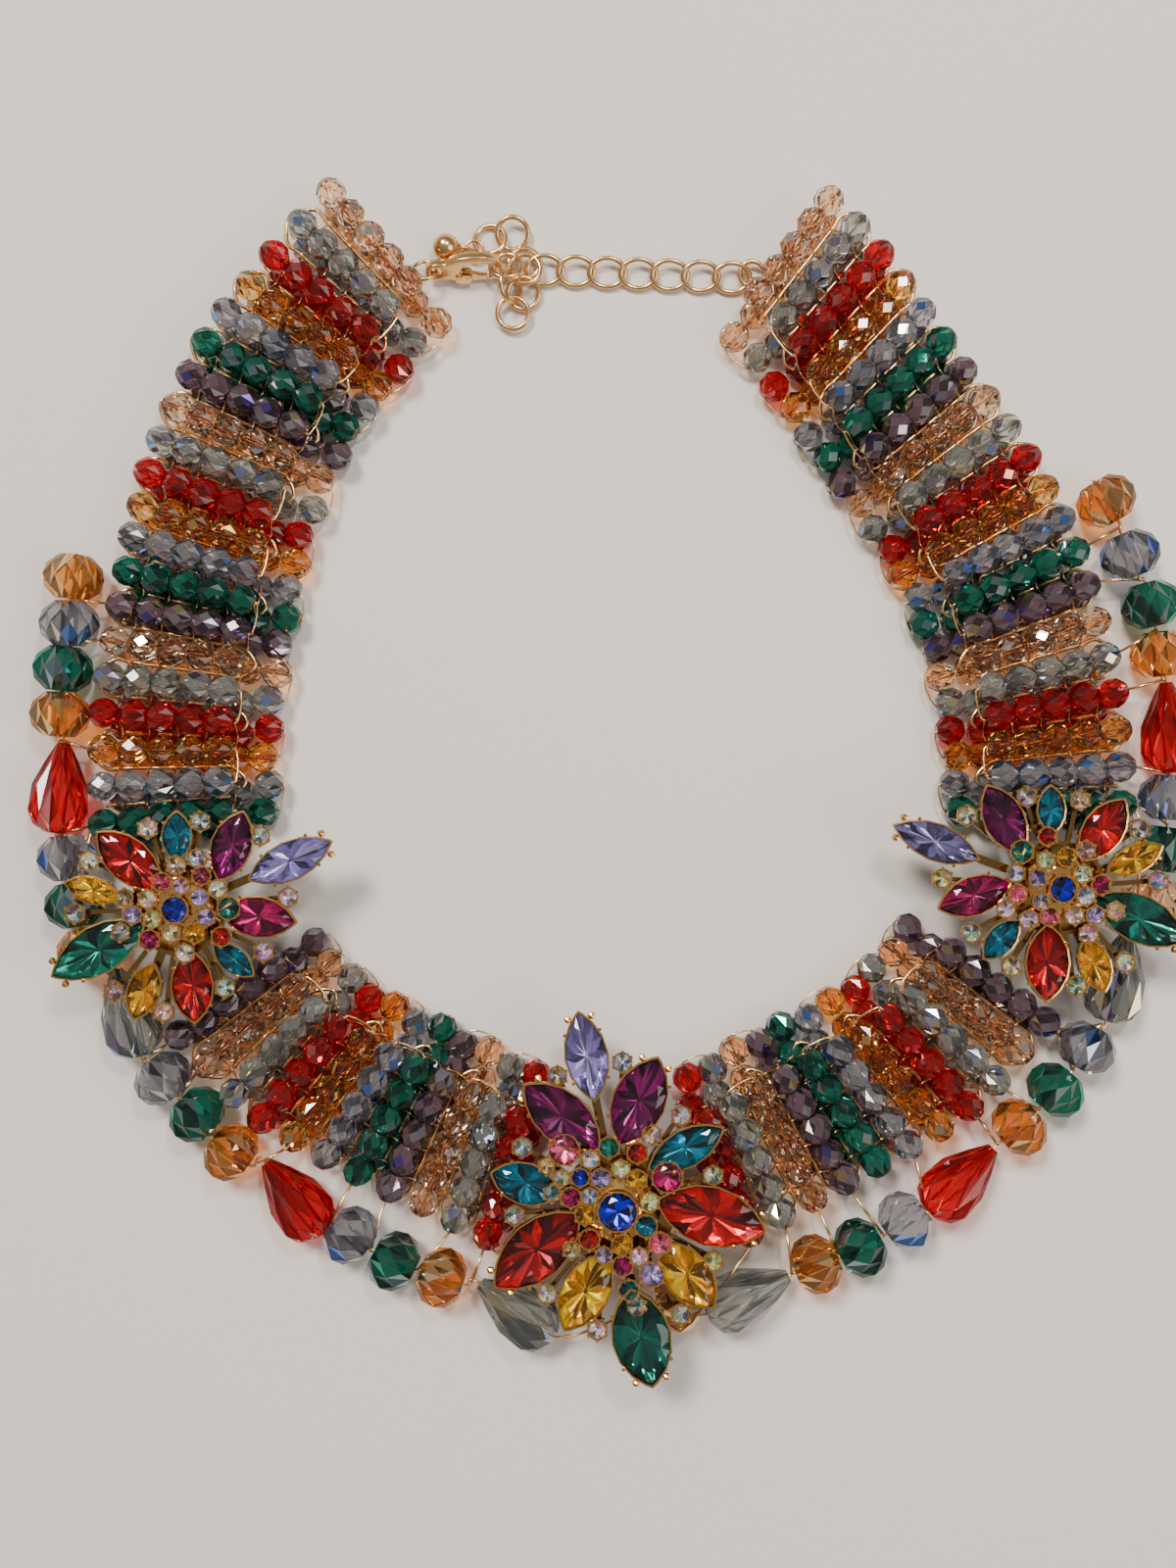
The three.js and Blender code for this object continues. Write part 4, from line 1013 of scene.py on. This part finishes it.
chain = {
    "x": -13.4, "y": 100.5, "z": 1.5, "tip": 14, "fall": 0.25, "pitch": 6.1, "count": 7,
    "radius": 2.72, "wire": 0.48, "stretch": 1.27,
    "loose": (
        (-17.3, 100.4, 2.4, 3.05, 0.52, 0, -10), (27.1, 99.7, 1.5, 2.4, 0.52, 0, 8),
        (-20, 97, 3.0, 3.05, 0.52, 86, 55), (-19.6, 92, 1.7, 3.05, 0.52, 0, 6),
        (-17.6, 96, 1.3, 3.05, 0.52, 20, 10), (-17.4, 101.8, 1.3, 3.05, 0.52, 0, -6),
        (-19.7, 107.6, 1.6, 3.05, 0.52, 0, 16), (-24.1, 106.4, 1.6, 3.05, 0.52, 30, -16),
        (-27.2, 104.4, 1.6, 1.75, 0.35, 0, 6),
    ),
}
charm = {"x": -32.6, "y": 104.5, "radius": 2.7, "eye": 1.1, "eyeWire": 0.3, "eyeReach": 3.6,
         "eyeZ": -1.1, "cap": ((1.3, 2.2), (0.75, 2.95))}


def turned(axis, degrees):
    return Matrix.Rotation(math.radians(degrees), 4, axis)


claspPlace = (Matrix.Translation(Vector((clasp["x"], clasp["y"], clasp["z"])) + collar["shift"])
              @ turned("Z", clasp["turn"]) @ turned("X", clasp["tip"]))


def addRing(heap, place, radius, wire, steps=28, corners=10):
    points, faces = [], []
    for i in range(steps):
        outward = Vector((math.cos(i * math.tau / steps), math.sin(i * math.tau / steps), 0))
        for j in range(corners):
            turn = j * math.tau / corners
            points.append(place @ (outward * (radius + wire * math.cos(turn)) + up * wire * math.sin(turn)))
            here, beyond, k = i * corners, (i + 1) % steps * corners, (j + 1) % corners
            faces.append((here + j, beyond + j, beyond + k, here + k))
    addShape(heap, points, faces)


def ringPlace(x, y, z, turn, tip, stretch=1.0):
    return (Matrix.Translation(Vector((x, y, z)) + collar["shift"]) @ turned("Z", turn) @ turned("X", tip)
            @ Matrix.Diagonal((stretch, 1, 1, 1)))


def claspRing(along, across):
    return claspPlace @ Matrix.Translation((along, across, 0)) @ turned("X", 90)


# A plate with rounded edges from an outline in the clasp's own plane, with or without a round hole.
def makePlate(name, outline, half, bevel, hole=None):
    curve = bpy.data.curves.new(name, "CURVE")
    curve.dimensions, curve.fill_mode = "2D", "BOTH"
    curve.extrude, curve.bevel_depth, curve.bevel_resolution, curve.offset = half - bevel, bevel, 2, -bevel
    runs = [list(outline)]
    if hole:
        x, y, radius = hole
        turns = [i * math.tau / 24 for i in range(24)]
        runs.append([(x + radius * math.cos(t), y + radius * math.sin(t)) for t in turns])
    for run in runs:
        spline = curve.splines.new("POLY")
        spline.points.add(len(run) - 1)
        spline.use_cyclic_u = True
        for point, (x, y) in zip(spline.points, run):
            point.co = (x, y, 0, 1)
    holder = bpy.data.objects.new(name, curve)
    scene.collection.objects.link(holder)
    graph = bpy.context.evaluated_depsgraph_get()
    mesh = bpy.data.meshes.new_from_object(holder.evaluated_get(graph))
    bpy.data.objects.remove(holder)
    return mesh


def plateInto(heap, mesh, place):
    shell = bmesh.new()
    shell.from_mesh(mesh)
    bmesh.ops.remove_doubles(shell, verts=shell.verts, dist=0.002)
    shell.verts.ensure_lookup_table()
    points = [place @ v.co for v in shell.verts]
    faces = [[v.index for v in face.verts] for face in shell.faces]
    shell.free()
    addShape(heap, points, faces)


def smoothByAngle(piece, degrees):
    shell = bmesh.new()
    shell.from_mesh(piece.data)
    for face in shell.faces:
        face.smooth = True
    for edge in shell.edges:
        edge.smooth = len(edge.link_faces) == 2 and edge.calc_face_angle(0) < math.radians(degrees)
    shell.to_mesh(piece.data)
    shell.free()


def goldPiece(name, heap, nodes, body="necklace"):
    piece = addPiece(name, heapMesh(name, heap), (goldWire,))
    smoothByAngle(piece, 40)
    finishPiece(piece, nodes, body)


def makeClasp():
    (pivotX, pivotY), half = clasp["pivot"], (clasp["cheekOut"] - clasp["cheekIn"]) / 2
    pivot = claspPlace @ Matrix.Translation((pivotX, pivotY, 0))
    body, lever, ring = newHeap(), newHeap(), newHeap()
    hook = makePlate("claspOutline", clasp["body"], clasp["half"], clasp["bevel"], (0, 0, clasp["eyeHole"]))
    plateInto(body, hook, claspPlace)
    for side in (-1, 1):
        cheek = makePlate("cheekOutline", clasp["cheek"], half, clasp["cheekBevel"])
        plateInto(body, cheek, claspPlace @ Matrix.Translation((0, 0, side * (clasp["cheekIn"] + half))))
    reach = clasp["cheekOut"] + clasp["pinPast"]
    addRound(body, pivot, 16, [(clasp["pin"], -reach), (clasp["pin"], reach)])
    turns = [math.pi / 2 + i * math.pi / (clasp["heelPoints"] - 1) for i in range(clasp["heelPoints"])]
    heel = [(pivotX + clasp["heel"] * math.cos(t), pivotY + clasp["heel"] * math.sin(t)) for t in turns]
    hole = (pivotX, pivotY, clasp["pinHole"])
    arm = makePlate("leverOutline", (*heel, *clasp["arm"]), clasp["leverHalf"], clasp["leverBevel"], hole)
    plateInto(lever, arm, claspPlace)
    addRing(ring, claspRing(-clasp["ring"]["radius"], 0), clasp["ring"]["radius"], clasp["ring"]["wire"])
    goldPiece("clasp_hook_and_spring_box", body, ["clasp_body"])
    goldPiece("clasp_thumb_lever", lever, ["clasp_lever"], "clasp_lever")
    goldPiece("clasp_jump_ring", ring, ["clasp_ring"])


def makeChain():
    rings, link = newHeap(), newHeap()
    hooked = clasp["hooked"]
    addRing(rings, claspRing(hooked["along"], hooked["across"]), hooked["radius"], hooked["wire"])
    for x, y, z, radius, wire, turn, tip in chain["loose"]:
        addRing(rings, ringPlace(x, y, z, turn, tip), radius, wire)
    goldPiece("extender_rings", rings, ["extender_chain"])
    addRing(link, Matrix.Diagonal((chain["stretch"], 1, 1, 1)), chain["radius"], chain["wire"])
    source = addPiece("linkShape", heapMesh("linkShape", link, True), ())
    start = Vector((chain["x"], chain["y"], chain["z"])) + collar["shift"]
    spots = [{"at": start + Vector((i * chain["pitch"], -i * chain["fall"], 0)),
              "facing": (math.radians(chain["tip"]), 0, 0), "size": (1, 1, 1)} for i in range(chain["count"])]
    links = scatterPiece("extender_links", source, spots, goldWire)
    finishPiece(links, ["extender_chain"])
    bpy.data.objects.remove(source)
    ball = newHeap()
    middle = Vector((charm["x"], charm["y"], charm["radius"])) + collar["shift"]
    place = Matrix.Translation(middle)
    addBall(ball, middle, charm["radius"], 24, 12)
    eye = place @ Matrix.Translation((charm["eyeReach"], 0, charm["eyeZ"])) @ turned("X", 90)
    addRing(ball, eye, charm["eye"], charm["eyeWire"])
    addRound(ball, place @ turned("Y", 90), 16, charm["cap"])
    goldPiece("ball_charm", ball, ["chain_ball"])


makeClasp()
makeChain()
print("clasp and chain made")


studio = {
    "floor": (0.82, 0.75, 0.69), "floorRough": 0.7, "floorSize": 24.0, "floorGap": 0.00003,
    "roomColour": (1.0, 0.96, 0.91), "sunColour": (1.0, 0.96, 0.90),
    "room": ((0.0, 0.62), (0.12, 0.5), (0.4, 0.2), (1.0, 0.34)),  # height and brightness of the room around
    "suns": (  # where each stands, its spread in degrees and its strength
        {"name": "key", "at": (-0.30, 0.45, 0.75), "spread": 15, "strength": 2.9},
        {"name": "fill", "at": (0.60, -0.20, 0.6), "spread": 34, "strength": 0.9},
    ),
    "spark": {"at": (0.12, 0.30, 0.6), "size": 0.07, "watts": 1.6},
    "camera": {"x": -5.1, "y": -1.63, "above": 320, "lens": 37.4},
}


def placeLamp(light, at):
    lamp = bpy.data.objects.new(light.name, light)
    lamp.location = at
    lamp.rotation_euler = (-Vector(at)).to_track_quat("-Z", "Y").to_euler()
    scene.collection.objects.link(lamp)


def makeStudio():
    floorMesh = bpy.data.meshes.new("floor")
    half = studio["floorSize"] / 2
    z = cadBox[0].z - studio["floorGap"]
    corners = [(-half, -half, z), (half, -half, z), (half, half, z), (-half, half, z)]
    floorMesh.from_pydata(corners, [], [(0, 1, 2, 3)])
    material, _, _, shader = startMaterial("paleFloor")
    setInputs(shader, ("Base Color", (*studio["floor"], 1)), ("Roughness", studio["floorRough"]))
    floor = addPiece("floor", floorMesh, (material,))
    world = bpy.data.worlds.new("softRoom")
    world.use_nodes = True
    nodes, links = world.node_tree.nodes, world.node_tree.links
    place, height = nodes.new("ShaderNodeTexCoord"), nodes.new("ShaderNodeSeparateXYZ")
    room = nodes.new("ShaderNodeValToRGB")
    while len(room.color_ramp.elements) < len(studio["room"]):
        room.color_ramp.elements.new(0.5)
    for element, (at, glow) in zip(room.color_ramp.elements, studio["room"]):
        element.position = at
        element.color = (glow, glow, glow, 1)
    join(links, (place, "Generated", height, "Vector"), (height, "Z", room, "Fac"))
    links.new(room.outputs["Color"], nodes["Background"].inputs["Strength"])
    nodes["Background"].inputs["Color"].default_value = (*studio["roomColour"], 1)
    scene.world = world
    for row in studio["suns"]:
        light = bpy.data.lights.new(row["name"], "SUN")
        light.energy, light.angle = row["strength"], math.radians(row["spread"])
        light.color = studio["sunColour"]
        placeLamp(light, row["at"])
    spark = bpy.data.lights.new("spark", "AREA")
    spark.energy, spark.size = studio["spark"]["watts"], studio["spark"]["size"]
    placeLamp(spark, studio["spark"]["at"])


def makeCamera():
    eye = studio["camera"]
    data = bpy.data.cameras.new("camera")
    data.lens, data.sensor_width = eye["lens"], 36
    data.clip_start = 0.01
    camera = bpy.data.objects.new("camera", data)
    camera.location = Vector((eye["x"], eye["y"], eye["above"])) * mm
    scene.collection.objects.link(camera)
    scene.camera = camera


makeStudio()
makeCamera()
print("studio lit")
